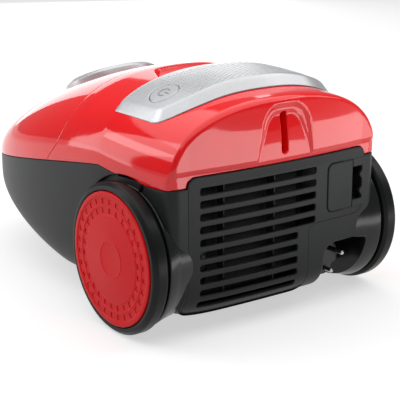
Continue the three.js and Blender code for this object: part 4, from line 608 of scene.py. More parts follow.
def whole_form():
    upper, lower = even_angles(136, False), even_angles(190, True)
    angles = np.concatenate([upper[:-1], lower[:-1]])
    ys = even_stations(2.3, angles)
    rows = [section(np.full(len(angles), y), angles) for y in ys]
    _, depth = rear_edge(angles, 0.0)
    for f in np.linspace(0, 1, 14)[1:-1]:
        rows.append(section(mix(ys[-1], REAR_Y - depth, f), angles))
    for turn in np.linspace(0, np.pi / 2, 22):
        rows.append(rear_edge(angles, turn)[0])
    size = len(angles)
    points = np.vstack(rows)
    i, k = np.meshgrid(np.arange(len(rows) - 1), np.arange(size), indexing="ij")
    a, b = i * size + k, i * size + (k + 1) % size
    c, d = a + size, b + size
    faces = [np.stack([a, c, d], -1).reshape(-1, 3), np.stack([a, d, b], -1).reshape(-1, 3)]
    tip = len(points)
    points = np.vstack([points, [[0, NOSE_Y, NOSE_Z + 1]]])
    ring = np.arange(size)
    faces.append(np.stack([np.full(size, tip), ring, (ring + 1) % size], 1))
    rim = (len(rows) - 1) * size + ring
    plan = points[rim][:, [0, 2]]
    xs, zs = np.meshgrid(np.arange(-110, 110, 1.4), np.arange(18, 198, 1.4))
    spots = np.stack([xs.ravel(), zs.ravel()], 1)
    spots = spots[inside(plan, spots[:, 0], spots[:, 1]) > 0.9]
    ask = [Vector(p) for p in np.vstack([plan, spots])]
    filled = geometry.delaunay_2d_cdt(ask, [], [list(range(size))], 1, 1e-6)
    face_points = np.array([[p.x, REAR_Y, p.y] for p in filled[0]])
    crowned(face_points, 1)
    index = np.array([rim[o[0]] if o and o[0] < size else -1 for o in filled[3]])
    new = index < 0
    index[new] = len(points) + np.arange(new.sum())
    points = np.vstack([points, face_points[new]])
    faces.append(index[np.array(filled[2])][:, ::-1])
    return Sheet(points, np.vstack(faces))


form = whole_form()
print("form:", len(form.faces), "triangles, open edges", len(form.rim()))

# %% [markdown]
# ## Lid, hood and latch
# The lid runs from the nose to a seam across the top; the hood carries on to the rear. Both are
# trimmed from the same form, so they line up. The hood has a finger well, whose floor ramps down
# under the grip, a recess for parking the floor tool, and a chamfered lower edge behind. The recess
# is a gentle hollow with two steps, so the sheet is scored along the steps and pressed in. The well
# and the hook slot have steep walls, so they are cut out and sunk.

# %% Outlines on the red mouldings
X, Y, Z = 0, 1, 2
REAR_HALF_Y, UPPER_HALF_Z, LOWER_HALF_Z = 150, 150, 80  # where the outlines hold
ARCH_RADIUS, ARCH_X = 69.5, 114.6
PANEL = outline([(94, 19, 10), (94, 140, 8), (-97, 140, 8), (-97, 80, 12), (-31, 80, 8),
                 (-31, 19, 8)])
WELL = outline([(0, 46, 60), (31, 48.5, 16), (38, 62, 5), (51, 91, 4), (51, 123, 6), (-51, 123, 6),
                (-51, 91, 4), (-38, 62, 5), (-31, 48.5, 16)])
PARK = outline([(27.5, 120, 0), (27.5, 146, 0), (21.5, 191.5, 20), (-26.5, 191.5, 20),
                (-32.5, 146, 0), (-32.5, 120, 0)])
SLOT = rectangle(-6.7, 1.7, 147, 184, 4.1)


def lid_line(p):
    """Distance ahead of the seam between lid and hood."""
    bend = unit((165.5 - p[:, 2]) / 41) ** 2
    return 33 - 24.5 * bend - p[:, 1]


def from_axle(p):
    return np.hypot(p[:, 1] - AXLE_Y, p[:, 2] - AXLE_Z)


def in_arch(p):
    """Positive where the wheel arch takes the form away."""
    return np.minimum(ARCH_RADIUS - from_axle(p), np.abs(p[:, X]) - ARCH_X)


def above_seam(p):
    return p[:, 2] - seam_height(p[:, 1]) - SEAM_GAP / 2


# The middle of the port on the lid, and its tilt towards the nose.
INLET = np.array([0.0, -70.0, 169.19])
TILT = math.radians(25)
INLET_AXIS = np.array([0, -math.sin(TILT), math.cos(TILT)])


def from_inlet(p):
    along = (p - INLET) @ INLET_AXIS
    return np.linalg.norm(p - INLET - along[:, None] * INLET_AXIS, axis=1)


LATCH = rectangle(-24, 24, -230, -168, 5)
LATCH_HOLE = rectangle(-24.5, 24.5, -230, -166.4, 5.5)
PLANE = {"x": (1, 2), "top": (0, 1), "rear": (0, 2)}


def on_plane(shape, view):
    """Signed distance of points to an outline drawn on the plan or on the rear view."""
    a, b = PLANE[view]
    return lambda p: inside(shape, p[:, a], p[:, b])


def beyond(axis, level, line, other=5.0):
    """A line that holds where one coordinate passes a level; other stands in elsewhere."""
    return lambda p: np.where(p[:, axis] > level, line(p), other)


def on_line(axis, level, line, reach=0.3):
    """Tells which points lie on a line, where one coordinate passes a level."""
    return lambda p: (p[:, axis] > level) & (np.abs(line(p)) < reach)


def from_spot(x, y):
    """Distance on the plan from a spot."""
    return lambda p: np.hypot(p[:, X] - x, p[:, Y] - y)


in_panel, in_park, in_slot = (on_plane(shape, "rear") for shape in (PANEL, PARK, SLOT))
in_well, in_latch, in_latch_hole = (on_plane(shape, "top") for shape in (WELL, LATCH, LATCH_HOLE))


# %% Lid and latch
LATCH_INSET, INLET_RADIUS = 0.1, 26
red = form.copy().trim(above_seam)
lid = red.copy().trim(lambda p: lid_line(p) - SEAM_GAP / 2)
latch = lid.copy().trim(lambda p: in_latch(p) - LATCH_INSET)
lid.trim(lambda p: -in_latch_hole(p))
lid.trim(lambda p: from_inlet(p) - INLET_RADIUS)
piece("lid_moulding", *shell(lid), red_gloss, "lid", "red_gloss_abs", "bag_lid")
piece("latch_moulding", *shell(latch), red_gloss, "latch", "red_gloss_abs", "lid_latch")

# %% Hood
BUTTONS = [(72.0, 126.0), (-72.0, 126.0)]
STEM_HOLE, REAR_FACE_Y = 4.4, 186
EDGE_IN, EDGE_Z = 1.8, (142.3, 146.2)  # how deep the chamfer is, and where it starts and ends
hood = red.copy().trim(lambda p: -lid_line(p) - SEAM_GAP / 2)
hood.trim(lambda p: -in_arch(p))
hood.trim(beyond(Y, REAR_HALF_Y, lambda p: -in_panel(p) - SEAM_GAP))
for x, y in BUTTONS:
    hood.trim(beyond(Z, UPPER_HALF_Z, lambda p: from_spot(x, y)(p) - STEM_HOLE))
hood.trim(beyond(Z, UPPER_HALF_Z, lambda p: -in_well(p)))
print("hood sheet", len(hood.faces), "triangles")


def wall_run(p):
    """Width of the recess's sloping wall: widest at its head, none at its foot."""
    return 2.6 + 9 * smooth((p[:, 2] - 146) / 38)


def park_depth(p):
    """How far the recess is pressed in, in two steps."""
    d = in_park(p)
    run = wall_run(p)
    t = unit(d / run)
    step = 0.5 * smooth(t / 0.45) + 0.1 * unit((t - 0.4) / 0.2)
    step = step + 0.4 * smooth((t - 0.55) / 0.45)
    full = mix(1.2, 6.5, unit((p[:, 2] - 142) / 46))
    return full * step * (d > 0)


for share in (0, 0.22, 0.45, 0.55, 0.78, 1):
    hood.score(beyond(Y, REAR_FACE_Y, lambda p: in_park(p) - share * wall_run(p), -5.0))
for z in EDGE_Z:
    hood.score(beyond(Y, REAR_FACE_Y, lambda p: p[:, Z] - z, -5.0))
depth = park_depth(hood.points) * (hood.points[:, Y] > REAR_FACE_Y)
chamfer = EDGE_IN * unit((EDGE_Z[1] - hood.points[:, Z]) / 3.9)
chamfer = chamfer * smooth((hood.points[:, Y] - REAR_FACE_Y) / 4)
hood.points[:, Y] -= np.maximum(depth, chamfer)
SLOT_BACK_Y, SLOT_FRONT_Y = 174, 180
hood.trim(beyond(Y, SLOT_FRONT_Y, lambda p: -in_slot(p)))
slot_rings = rolled(0.8) + [flat_ring(Y, SLOT_BACK_Y, inset) for inset in (0.8, 1.6)]
sink(hood, on_line(Y, SLOT_FRONT_Y, in_slot, 0.2), slot_rings, (-2.5, SLOT_BACK_Y, 165))


def well_floor(y):
    """The floor is a ramp that falls from the front lip to under the grip."""
    return 198.5 - 0.38 * (y - 48)


def well_wall(inset, lift):
    """A ring set off by inset that stands a lift over the floor, and under the red surface."""
    def ring(p, t, n):
        x, y = p[:, X] + inset * t[:, X], p[:, Y] + inset * t[:, Y]
        surface = top_height(p[:, X], p[:, Y])
        return np.stack([x, y, np.minimum(well_floor(y) + lift, surface - 1.6)], 1)

    return ring


well_rings = rolled(1.2) + [
    well_wall(*size) for size in ((1.6, 4), (2.2, 1.8), (3.6, 0.4), (5.5, 0), (8, 0))]
sink(hood, on_line(Z, UPPER_HALF_Z, in_well), well_rings, (0, 85, well_floor(85)))
piece("hood_moulding", *shell(hood), red_gloss, "root", "red_gloss_abs", "rear_hood")

# %% [markdown]
# ## Base, arches and drums
# The base is one black tub. Each rear wheel turns in a shallow arch, in front of a fixed drum that
# flares towards it. The right drum is cut away beside the plug so that fingers reach it. The
# openings for the grille and the plug are sunk into the sheet, so each has real walls and a back.

# %% Base
OUTLET = outline([(-49, -20, 0), (-49, 59, 14), (-110, 59, 14), (-110, -20, 0)])
PANEL_GAP, ARCH_BACK_X, PANEL_BACK_Y, OUTLET_Y = 0.45, 114, 165.6, 125
in_outlet = on_plane(OUTLET, "rear")


def in_cavity(p):
    """Positive in the hollow round the plug."""
    return np.minimum(in_outlet(p), p[:, Y] - OUTLET_Y)


base = form.copy().trim(lambda p: -above_seam(p) - SEAM_GAP)
base.trim(beyond(Y, REAR_HALF_Y, lambda p: -in_panel(p) - PANEL_GAP))
base.trim(lambda p: -in_arch(p))
base.trim(lambda p: np.where(p[:, Z] < LOWER_HALF_Z, -in_cavity(p), 5.0))
for side in (1, -1):
    near = lambda p: (p[:, X] * side > 100) & (np.abs(in_arch(p)) < 0.3)
    rings = rolled(0.5) + [flat_ring(X, ARCH_BACK_X * side, inset) for inset in (0.6, 2.2)]
    sink(base, near, rings, (ARCH_BACK_X * side, 120, 75))
rings = rolled(0.6) + [flat_ring(Y, PANEL_BACK_Y, inset) for inset in (0.6, 3)]
near = on_line(Y, REAR_HALF_Y, lambda p: in_panel(p) + PANEL_GAP)
sink(base, near, rings, (10, PANEL_BACK_Y, 100))
rings = rolled(1.2) + [flat_ring(Y, *size) for size in ((127, 1.2), (124.3, 3), (124, 6))]
near = lambda p: (p[:, Z] < LOWER_HALF_Z) & (np.abs(in_cavity(p)) < 0.3)
sink(base, near, rings, (-79.5, 124, 38))
piece("base_moulding", *shell(base), black_grain, "root", "black_textured_abs", "base_housing")

# %% [markdown]
# ## Turned and extruded bodies
# Wheels, drums, rings and pins are turned; ribs and the plug's face are extruded. Blender's Screw
# modifier would turn a profile too, but here a helper rounds every corner of the profile first,
# because a rounded corner is what tells moulded plastic from a bare cylinder.


# %% Lathe and slab
def closed_out(points, faces):
    """Triangles that face outwards, whichever way round they were made."""
    corners = points[faces]
    volume = np.einsum("ij,ij->i", corners[:, 0], np.cross(corners[:, 1], corners[:, 2])).sum()
    return points, faces if volume > 0 else faces[:, ::-1]


def belt(a, b):
    """Triangles that join two closed rings of equal size."""
    return [np.stack([a, np.roll(a, -1), np.roll(b, -1)], 1), np.stack([a, np.roll(b, -1), b], 1)]


def lathe(profile, centre, axis, count=96):
    """Turns corners (radius, distance along, rounding) about an axis through the centre."""
    line = outline(profile)
    pole = profile[0][0] == 0
    axis = np.array(axis, float)
    first = np.cross(axis, (0, 0, 1) if abs(axis[2]) < 0.9 else (0, 1, 0))
    first /= np.linalg.norm(first)
    second = np.cross(axis, first)
    turn = np.arange(count) * 2 * np.pi / count
    points, rings = [], []
    for r, along in line:
        spread = r * (np.cos(turn)[:, None] * first + np.sin(turn)[:, None] * second)
        ring = spread[:1] * 0 if r < 1e-6 else spread
        rings.append(len(points) + np.arange(len(ring)))
        points += list(np.array(centre) + along * axis + ring)
    faces = []
    for k in range(len(rings) - 1 if pole else len(rings)):
        a, b = rings[k], rings[(k + 1) % len(rings)]
        if len(a) > 1 and len(b) > 1:
            faces += belt(a, b)
        elif len(a) > 1:
            faces.append(np.stack([a, np.roll(a, -1), np.repeat(b, count)], 1))
        elif len(b) > 1:
            faces.append(np.stack([np.repeat(a, count), np.roll(b, -1), b], 1))
    return closed_out(np.array(points), np.vstack(faces))


def turning(shape):
    """Twice the area of an outline, positive when it runs anticlockwise."""
    a, b = shape.T
    return np.sum(a * np.roll(b, -1) - b * np.roll(a, -1))


def slab(shape, view, low, high, roll=0.6, steps=3):
    """Extrudes an outline between two levels across its view, with rolled edges."""
    run = np.roll(shape, -1, axis=0) - shape
    run /= np.linalg.norm(run, axis=1, keepdims=True)
    side = run + np.roll(run, 1, axis=0)
    side /= np.linalg.norm(side, axis=1, keepdims=True)
    inward = np.stack([-side[:, 1], side[:, 0]], 1)
    if turning(shape) < 0:
        inward = -inward
    turns = [math.pi / 2 * k / steps for k in range(steps + 1)]
    levels = [(roll * (1 - math.sin(a)), low + roll * (1 - math.cos(a))) for a in turns]
    levels += [(inset, low + high - at) for inset, at in levels[::-1]]
    order = [*PLANE[view], 3 - sum(PLANE[view])]
    points = np.zeros((len(levels) * len(shape), 3))
    for k, (inset, at) in enumerate(levels):
        rows = slice(k * len(shape), (k + 1) * len(shape))
        points[rows, order[0]], points[rows, order[1]] = (shape + inset * inward).T
        points[rows, order[2]] = at
    ring = np.arange(len(shape))
    faces = []
    for k in range(len(levels) - 1):
        a, b = k * len(shape) + ring, (k + 1) * len(shape) + ring
        faces += belt(a, b)
    cap = np.array(geometry.tessellate_polygon([[Vector((*p, 0)) for p in shape]]))
    if turning(shape[cap[0]]) * turning(shape) > 0:
        cap = cap[:, ::-1]
    faces += [cap, cap[:, ::-1] + (len(levels) - 1) * len(shape)]
    return closed_out(points, np.vstack(faces))


def baked(thing):
    """The mesh of an object with its modifiers applied."""
    held = thing.evaluated_get(bpy.context.evaluated_depsgraph_get())
    return bpy.data.meshes.new_from_object(held)


def together(*bodies):
    """Several closed bodies as the points and faces of one mesh."""
    points, faces, total = [], [], 0
    for p, f in bodies:
        points.append(p)
        faces.append(f + total)
        total += len(p)
    return np.vstack(points), np.vstack(faces)


# %% Drums
DRUM = [(0, 70, 0), (50, 70, 0.5), (56.5, 90, 20), (59, 103, 20), (62.6, 115.5, 1.4), (0, 115.5, 0)]
for name, side in (("left", 1), ("right", -1)):
    turned = lathe(DRUM, (0, AXLE_Y, AXLE_Z), (side, 0, 0), 144)
    drum = piece("drum_" + name, *turned, black_gloss, "root", "black_textured_abs")
# The right drum was made last, so it is the one that is cut.
FINGER_SPACE = outline([(118, -8, 0), (118, 59, 16), (188, 59, 12), (215, 40, 0), (215, -8, 0)])
points, faces = slab(FINGER_SPACE, "x", -101, -60, 3)
mesh = bpy.data.meshes.new("finger_space")
mesh.from_pydata(points / 1000, [], faces)
cutter = stand("finger_space", mesh)
modifier = drum.modifiers.new("finger_space", "BOOLEAN")
modifier.object, modifier.solver = cutter, "EXACT"
drum.data = baked(drum)
drum.modifiers.clear()
bpy.data.objects.remove(cutter)
report(drum)
rib = slab(rectangle(-94.4, -92, 22, 62, 0.5), "rear", 126, 150, 0.5)
piece("outlet_rib", *rib, black_gloss, "root", "black_textured_abs")

# %% [markdown]
# ## Exhaust grille
# The rear panel follows the body, wraps under at the heel and steps round the plug. Ten slots are
# cut through it and two ribs stiffen it behind. Beside the slots a sprung tab, a little proud,
# lets a fingertip open the panel through a window with a wavy edge.

# %% Grille panel
PITCH = 10.9
slots = [rectangle(-19 if k >= 5 else -38.6, 82.6, 124.4 - PITCH * k, 130.6 - PITCH * k, 1.7)
         for k in range(10)]
TAB = outline([(-52.4, 87, 5.5), (-52.4, 130, 5.5), (-82, 130, 0.6), (-82, 87, 0.6)])
WINDOW = outline([(-81.4, 93, 0.8), (-81.4, 123, 0.8), (-94, 123, 1), (-94, 118.6, 1),
                  (-90.6, 115, 2), (-94, 111, 2), (-94, 103.6, 2), (-90.6, 100, 2), (-94, 96, 2),
                  (-94, 93, 0.6)])
PROUD = 0.9  # how far the tab stands out
in_tab, in_window = on_plane(TAB, "rear"), on_plane(WINDOW, "rear")


def in_slots(p):
    return np.max([on_plane(slot, "rear")(p) for slot in slots], axis=0)


panel = form.copy().trim(beyond(Y, REAR_HALF_Y, lambda p: in_panel(p) - 0.05, -5.0))
panel.trim(lambda p: -in_slots(p))
for z in (86.2, 87, 130, 130.8):
    panel.score(lambda p: np.where(p[:, 0] < -60, p[:, 2] - z, 9.0))
level = unit((panel.points[:, 2] - 86.2) / 0.8) * unit((130.8 - panel.points[:, 2]) / 0.8)
panel.points[:, 1] += PROUD * level * (panel.points[:, 0] < -70)
panel.trim(lambda p: -in_tab(p) - 0.4)
panel.trim(lambda p: -in_window(p))
ribs = [slab(rectangle(x - 0.6, x + 0.6, 37, 132, 0.4), "rear", 180.4, y, 0.3)
        for x, y in ((57, 189.4), (5, 191))]
piece("grille_moulding", *together(shell(panel, 2.2, 0.5), *ribs), black_grain, "grille",
      "black_textured_abs", "exhaust_grille")
tab = form.copy().trim(beyond(Y, REAR_HALF_Y, in_tab, -5.0))
tab.points[:, 1] += PROUD
piece("tab_moulding", *shell(tab, 2.0, 0.7), black_grain, "grille_tab", "black_textured_abs",
      "grille_latch")

# %% [markdown]
# ## Carry grip and buttons
# The grip is one sprayed moulding across the hood: a shallow crowned top, bevelled flanks at the
# rear and the ends, and a rounded front edge where the fingers curl under. It is laid out on the
# plan as a height above the red surface, scored along the bevel so that the crease stays sharp.

# %% Grip
t = np.linspace(0, 1, 25)
corner = np.stack([52 + 43 * t, 142 + 23 * (1 - t**1.8) ** (1 / 1.8)], 1)
side = np.vstack([corner, [[99, 91]]])
GRIP = np.vstack([side[::-1] * (-1, 1), side])
GRIP_ENDS = np.vstack([[[-104.8, 40]], GRIP, [[104.8, 40]]])
FLANK = 7.2


def above_body(x, y):
    """Height of the grip over the red surface."""
    middle = 1 - (x / 99) ** 2
    back = unit((y - 91) / 74)
    full = mix(4 + 3.5 * middle, 5.5 + 4.5 * middle, back) + middle * 4 * back * (1 - back)
    t = inside(GRIP_ENDS, x, y) / FLANK
    flank = np.where(t < 0.85, unit(t), np.where(t < 1.15, t - (t - 0.85) ** 2 / 0.6, 1))
    front = np.sqrt(1 - (1 - unit((y - 90.9) / 3.2)) ** 2)
    return 0.7 + (full - 0.7) * flank * front


xs, ys = np.arange(-100.5, 101, 1.5), np.arange(90.0, 167.5, 1.5)
gx, gy = np.meshgrid(xs, ys)
plan = np.stack([gx.ravel(), gy.ravel(), 0 * gx.ravel()], 1)
i, k = np.meshgrid(np.arange(len(ys) - 1), np.arange(len(xs) - 1), indexing="ij")
a = (i * len(xs) + k).ravel()
b, c, d = a + 1, a + len(xs) + 1, a + len(xs)
grip = Sheet(plan, np.vstack([np.stack([a, b, c], 1), np.stack([a, c, d], 1)]))
grip.trim(lambda p: inside(GRIP, p[:, 0], p[:, 1]))
for at in (0.4, *(FLANK * share for share in (0.85, 0.92, 1, 1.08, 1.15))):
    grip.score(lambda p: inside(GRIP_ENDS, p[:, 0], p[:, 1]) - at)
for at in (0.1, 0.35, 0.8, 1.4, 2.2, 3.2):
    grip.score(lambda p: p[:, 1] - 91 - at)


def raised(sheet, extra=0.0):
    """The sheet lifted to the grip's top face, and the same points just over the red surface."""
    x, y = sheet.points[:, 0], sheet.points[:, 1]
    body = top_height(x, y)
    under = np.stack([x, y, body + 0.35 + extra], 1)
    sheet.points[:, 2] = body + above_body(x, y)
    return under


CAP_RADIUS, CAP_FLAT, CAP_HOLE = 12.2, 11.2, 12.75
caps = []
for x, y in BUTTONS:
    from_button = from_spot(x, y)
    cap = grip.copy().trim(lambda p: CAP_RADIUS - from_button(p))
    cap.score(lambda p: from_button(p) - CAP_FLAT)
    caps.append(cap)
    grip.trim(lambda p: from_button(p) - CAP_HOLE)
under = raised(grip)
piece("grip_moulding", *shell(grip, roll=0.5, under=under), silver, "root", "silver_painted_abs",
      "carry_handle")

# %% Buttons
for (x, y), cap, name in zip(BUTTONS, caps, ("power", "rewind")):
    under = raised(cap, 2.9)
    foot = float(under[:, 2].min())
    rise = foot - 176 + 2
    profile = [(0, 0, 0), (3, 0, 0.4), (3, rise, 0.4), (0, rise, 0)]
    stem = lathe(profile, (x, y, 178.6), (0, 0, 1), 32)
    whole = together(shell(cap, roll=0.7, under=under), stem)
    piece(name + "_button_cap", *whole, silver, name + "_button", "silver_painted_abs",
          name + "_button")

x, y = BUTTONS[0]
turn = np.radians(np.arange(-230.0, 51, 10))
arc = [np.stack([x + r * np.cos(t), y + r * np.sin(t)], 1)
       for r, t in ((5.2, turn), (4.1, turn[::-1]))]
bar = rectangle(x - 0.6, x + 0.6, y + 1.5, y + 6.6, 0.3)
mark = together(slab(np.vstack(arc), "top", -0.6, 0.3, 0.25), slab(bar, "top", -0.6, 0.3, 0.25))
across, back = mark[0][:, X], mark[0][:, Y]
mark[0][:, Z] += top_height(across, back) + above_body(across, back)
piece("power_mark", *mark, grey, "power_button", "silver_painted_abs")

# %% [markdown]
# ## What repeats: Geometry Nodes
# The grip has a field of small studs and the hub caps have two rings of pockets. Both could be
# looped in Python, but a node tree keeps the count, pitch and size as named inputs, and the studs
# find the grip's surface by themselves. Each result is turned into a plain mesh before it rides.


# %% Running a tree
def node_group(name, sizes):
    """A geometry tree with a Geometry input and named size inputs; sizes are name: default."""
    group = bpy.data.node_groups.new(name, "GeometryNodeTree")
    group.interface.new_socket("Geometry", in_out="INPUT", socket_type="NodeSocketGeometry")
    for label, value in sizes.items():
        kind = "NodeSocketInt" if isinstance(value, int) else "NodeSocketFloat"
        group.interface.new_socket(label, in_out="INPUT", socket_type=kind).default_value = value
    group.interface.new_socket("Geometry", in_out="OUTPUT", socket_type="NodeSocketGeometry")
    return group, group.nodes.new("NodeGroupInput").outputs


def close_group(group, geometry_socket, material):
    """Ends the tree: real meshes, then their material."""
    real = add(group, "GeometryNodeRealizeInstances", {"Geometry": geometry_socket})
    coated = add(group, "GeometryNodeSetMaterial",
                 {"Geometry": real.outputs[0], "Material": material})
    add(group, "NodeGroupOutput", {0: coated.outputs[0]})


def run_tree(host, group, sizes):
    """The tree's result on a host as a plain mesh; the modifier is removed again."""
    modifier = host.modifiers.new("tree", "NODES")
    modifier.node_group = group
    items = group.interface.items_tree
    labels = {item.name: item.identifier for item in items if item.in_out == "INPUT"}
    for label, value in sizes.items():
        modifier[labels[label]] = value
    mesh = baked(host)
    host.modifiers.remove(modifier)
    return mesh


# %% Grip studs
studs = {"Pitch X": 0.0074, "Pitch Y": 0.0042, "Half Length": 0.058, "Half Width": 0.0245,
         "Radius": 0.0011, "Height": 0.0005}
FIELD_CENTRE, CAST_LENGTH = (0, 0.1265, 0.25), 0.2  # over the grip; the studs are cast down
group, socket = node_group("grip_studs", studs)
spans, counts = [], []
for half, pitch in (("Half Length", "Pitch X"), ("Half Width", "Pitch Y")):
    span = add(group, "ShaderNodeMath", {0: socket[half], 1: 2.0}, operation="MULTIPLY").outputs[0]
    gaps = add(group, "ShaderNodeMath", {0: span, 1: socket[pitch]}, operation="DIVIDE")
    count = add(group, "ShaderNodeMath", {0: gaps.outputs[0], 1: 1.0}, operation="ADD")
    spans.append(span)
    counts.append(count.outputs[0])
pitch = add(group, "ShaderNodeCombineXYZ",
            {"X": socket["Pitch X"], "Y": socket["Pitch Y"]}).outputs[0]
fields = []
for shift in (0, 1):
    field = add(group, "GeometryNodeMeshGrid", {
        "Size X": spans[0], "Size Y": spans[1], "Vertices X": counts[0],
        "Vertices Y": counts[1]})
    scale = add(group, "ShaderNodeVectorMath", {0: pitch, "Scale": shift / 2}, operation="SCALE")
    middle = add(group, "ShaderNodeVectorMath", {0: scale.outputs[0], 1: FIELD_CENTRE},
                 operation="ADD")
    moved = add(group, "GeometryNodeTransform",
                {"Geometry": field.outputs["Mesh"], "Translation": middle.outputs[0]})
    fields.append(moved.outputs[0])
spots = group.nodes.new("GeometryNodeJoinGeometry")
for field in fields:
    group.links.new(field, spots.inputs[0])
hit = add(group, "GeometryNodeRaycast", {
    "Target Geometry": socket["Geometry"], "Ray Direction": (0, 0, -1), "Ray Length": CAST_LENGTH})
points = add(group, "GeometryNodeMeshToPoints",
             {"Mesh": spots.outputs[0], "Selection": hit.outputs["Is Hit"]})
placed = add(group, "GeometryNodeSetPosition",
             {"Geometry": points.outputs[0], "Position": hit.outputs["Hit Position"]})
turned = add(group, "FunctionNodeAlignRotationToVector", {"Vector": hit.outputs["Hit Normal"]},
             axis="Z")
stud = add(group, "GeometryNodeMeshUVSphere",
           {"Segments": 4, "Rings": 4, "Radius": socket["Radius"]})
flat = add(group, "ShaderNodeMath", {0: socket["Height"], 1: socket["Radius"]},
           operation="DIVIDE")
squash = add(group, "ShaderNodeCombineXYZ", {"X": 1.0, "Y": 1.0, "Z": flat.outputs[0]})
copies = add(group, "GeometryNodeInstanceOnPoints", {
    "Points": placed.outputs[0], "Instance": stud.outputs["Mesh"], "Rotation": turned.outputs[0],
    "Scale": squash.outputs[0]})
close_group(group, copies.outputs[0], silver)
grip_piece = bpy.data.objects["grip_moulding"]
mesh = run_tree(grip_piece, group, studs)
mesh.shade_smooth()
field = stand("grip_studs", mesh)
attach(field, "root")
report(field)

# %% [markdown]
# ## Wheels
# Each rear wheel is a broad black tread, and a red hub cap fills its face. The cap has a raised
# rim, two rings of small pockets that save plastic and give grip, and a shallow circle round its
# centre. The pockets are cut by a Boolean inside the node tree.

# %% Tyres and hub caps
pockets = {"Outer Count": 30, "Inner Count": 26, "Outer Radius": 0.0495, "Inner Radius": 0.0415,
           "Width": 0.0042, "Length": 0.0044, "Depth": 0.0011}
group, socket = node_group("hub_pockets", pockets)
group.interface.new_socket("Face", in_out="INPUT", socket_type="NodeSocketFloat")
socket = group.nodes["Group Input"].outputs
rings = group.nodes.new("GeometryNodeJoinGeometry")
size = add(group, "ShaderNodeCombineXYZ",
           {"X": socket["Depth"], "Y": socket["Length"], "Z": socket["Width"]})
for label in ("Outer", "Inner"):
    ring = add(group, "GeometryNodeMeshCircle", {
        "Vertices": socket[label + " Count"], "Radius": socket[label + " Radius"]})
    upright = add(group, "GeometryNodeTransform",
                  {"Geometry": ring.outputs[0], "Rotation": (0, math.pi / 2, 0)})
    where = group.nodes.new("GeometryNodeInputPosition")
    turned = add(group, "FunctionNodeAlignRotationToVector", {"Vector": where.outputs[0]}, axis="Y",
                 pivot_axis="X")
    bar = add(group, "GeometryNodeMeshCube", {"Size": size.outputs[0]})
    copies = add(group, "GeometryNodeInstanceOnPoints", {
        "Points": upright.outputs[0], "Instance": bar.outputs["Mesh"],
        "Rotation": turned.outputs[0]})
    group.links.new(copies.outputs[0], rings.inputs[0])
place = add(group, "ShaderNodeCombineXYZ",
            {"X": socket["Face"], "Y": AXLE_Y / 1000, "Z": AXLE_Z / 1000})
moved = add(group, "GeometryNodeTransform",
            {"Geometry": rings.outputs[0], "Translation": place.outputs[0]})
real = add(group, "GeometryNodeRealizeInstances", {"Geometry": moved.outputs[0]})
cut = add(group, "GeometryNodeMeshBoolean", {"Mesh 1": socket["Geometry"]}, operation="DIFFERENCE",
          solver="EXACT")
group.links.new(real.outputs[0], cut.inputs["Mesh 2"])
close_group(group, cut.outputs["Mesh"], red_satin)

HUB_X, POCKET_FACE = 118.0, 14.8  # where the wheel starts; how far out the pockets' face lies
# Corners of each profile: radius, distance out from the hub, rounding.
TYRE = [(5.5, 0, 0.3), (62.5, 0, 1.2), (65, 2.6, 2), (65.0, 11.2, 3.0), (61.8, 14.5, 2.2),
        (58.3, 14.5, 0.8), (58.3, 11, 0.4), (5.5, 11, 0.3)]
CAP = [(0, 11.3, 0), (57.5, 11.3, 0.4), (57.5, 15.4, 0.8), (53.5, 15.4, 0.5), (52.9, 14.8, 0.4),
       (46, 14.8, 0.2), (45.6, 15.2, 0.2), (44.8, 15.2, 0.2), (44.4, 14.8, 0.2),
       (38.5, 14.8, 0.2), (37.7, 15.2, 0.5), (16.6, 15.35, 0.3), (16.2, 15.65, 0.2),
       (15.2, 15.65, 0.2), (14.8, 15.35, 0.3), (0, 15.4, 0)]
for name, side in (("left", 1), ("right", -1)):
    hub = (side * HUB_X, AXLE_Y, AXLE_Z)
    piece("tyre_" + name, *lathe(TYRE, hub, (side, 0, 0), 160), tread, "wheel_" + name,
          "tyre_rubber", "wheel_rim_" + name)
    cap = piece("hub_cap_" + name, *lathe(CAP, hub, (side, 0, 0), 120), red_satin, "wheel_" + name,
                "red_satin_abs", "hub_disc_" + name)
    cap.data = run_tree(cap, group, {**pockets, "Face": side * (HUB_X + POCKET_FACE) / 1000})
    cap.data.set_sharp_from_angle(angle=math.radians(30))
    report(cap)

# %% [markdown]
# ## Hose inlet
# The hose locks into a tilted port on the lid. A silver ring trims it; the black collar inside has
# a flat seat for the coupling and a sleeve that leads down to the dust bag.

# %% Ring and collar
RING = [(37, -14, 0.5), (45.5, -14, 0.5), (45.5, 1.6, 0.9), (42.3, 4.8, 0.8), (37, 3.9, 0.7)]
COLLAR = [(20, -32, 0.5), (22.4, -32, 0.5), (22.4, -4, 0.6), (36.7, -4, 0.5), (36.7, 2.1, 0.6),
          (26, 1.2, 0.8), (23, 3.5, 0.5), (20, 3.5, 0.8)]
piece("hose_ring_trim", *lathe(RING, INLET, INLET_AXIS, 128), silver, "lid", "silver_painted_abs",
      "hose_ring")
piece("hose_collar", *lathe(COLLAR, INLET, INLET_AXIS, 96), black_grain, "lid",
      "black_textured_abs", "inlet_collar")

# %% [markdown]
# ## Plug, pins and caster
# The mains plug is stowed in the outlet with its pins to the rear. Its round face has a grip notch
# on each side, and each pin has a black insulating sleeve and a bright tip. The cord behind it
# runs into the reel, so no cord lies free.

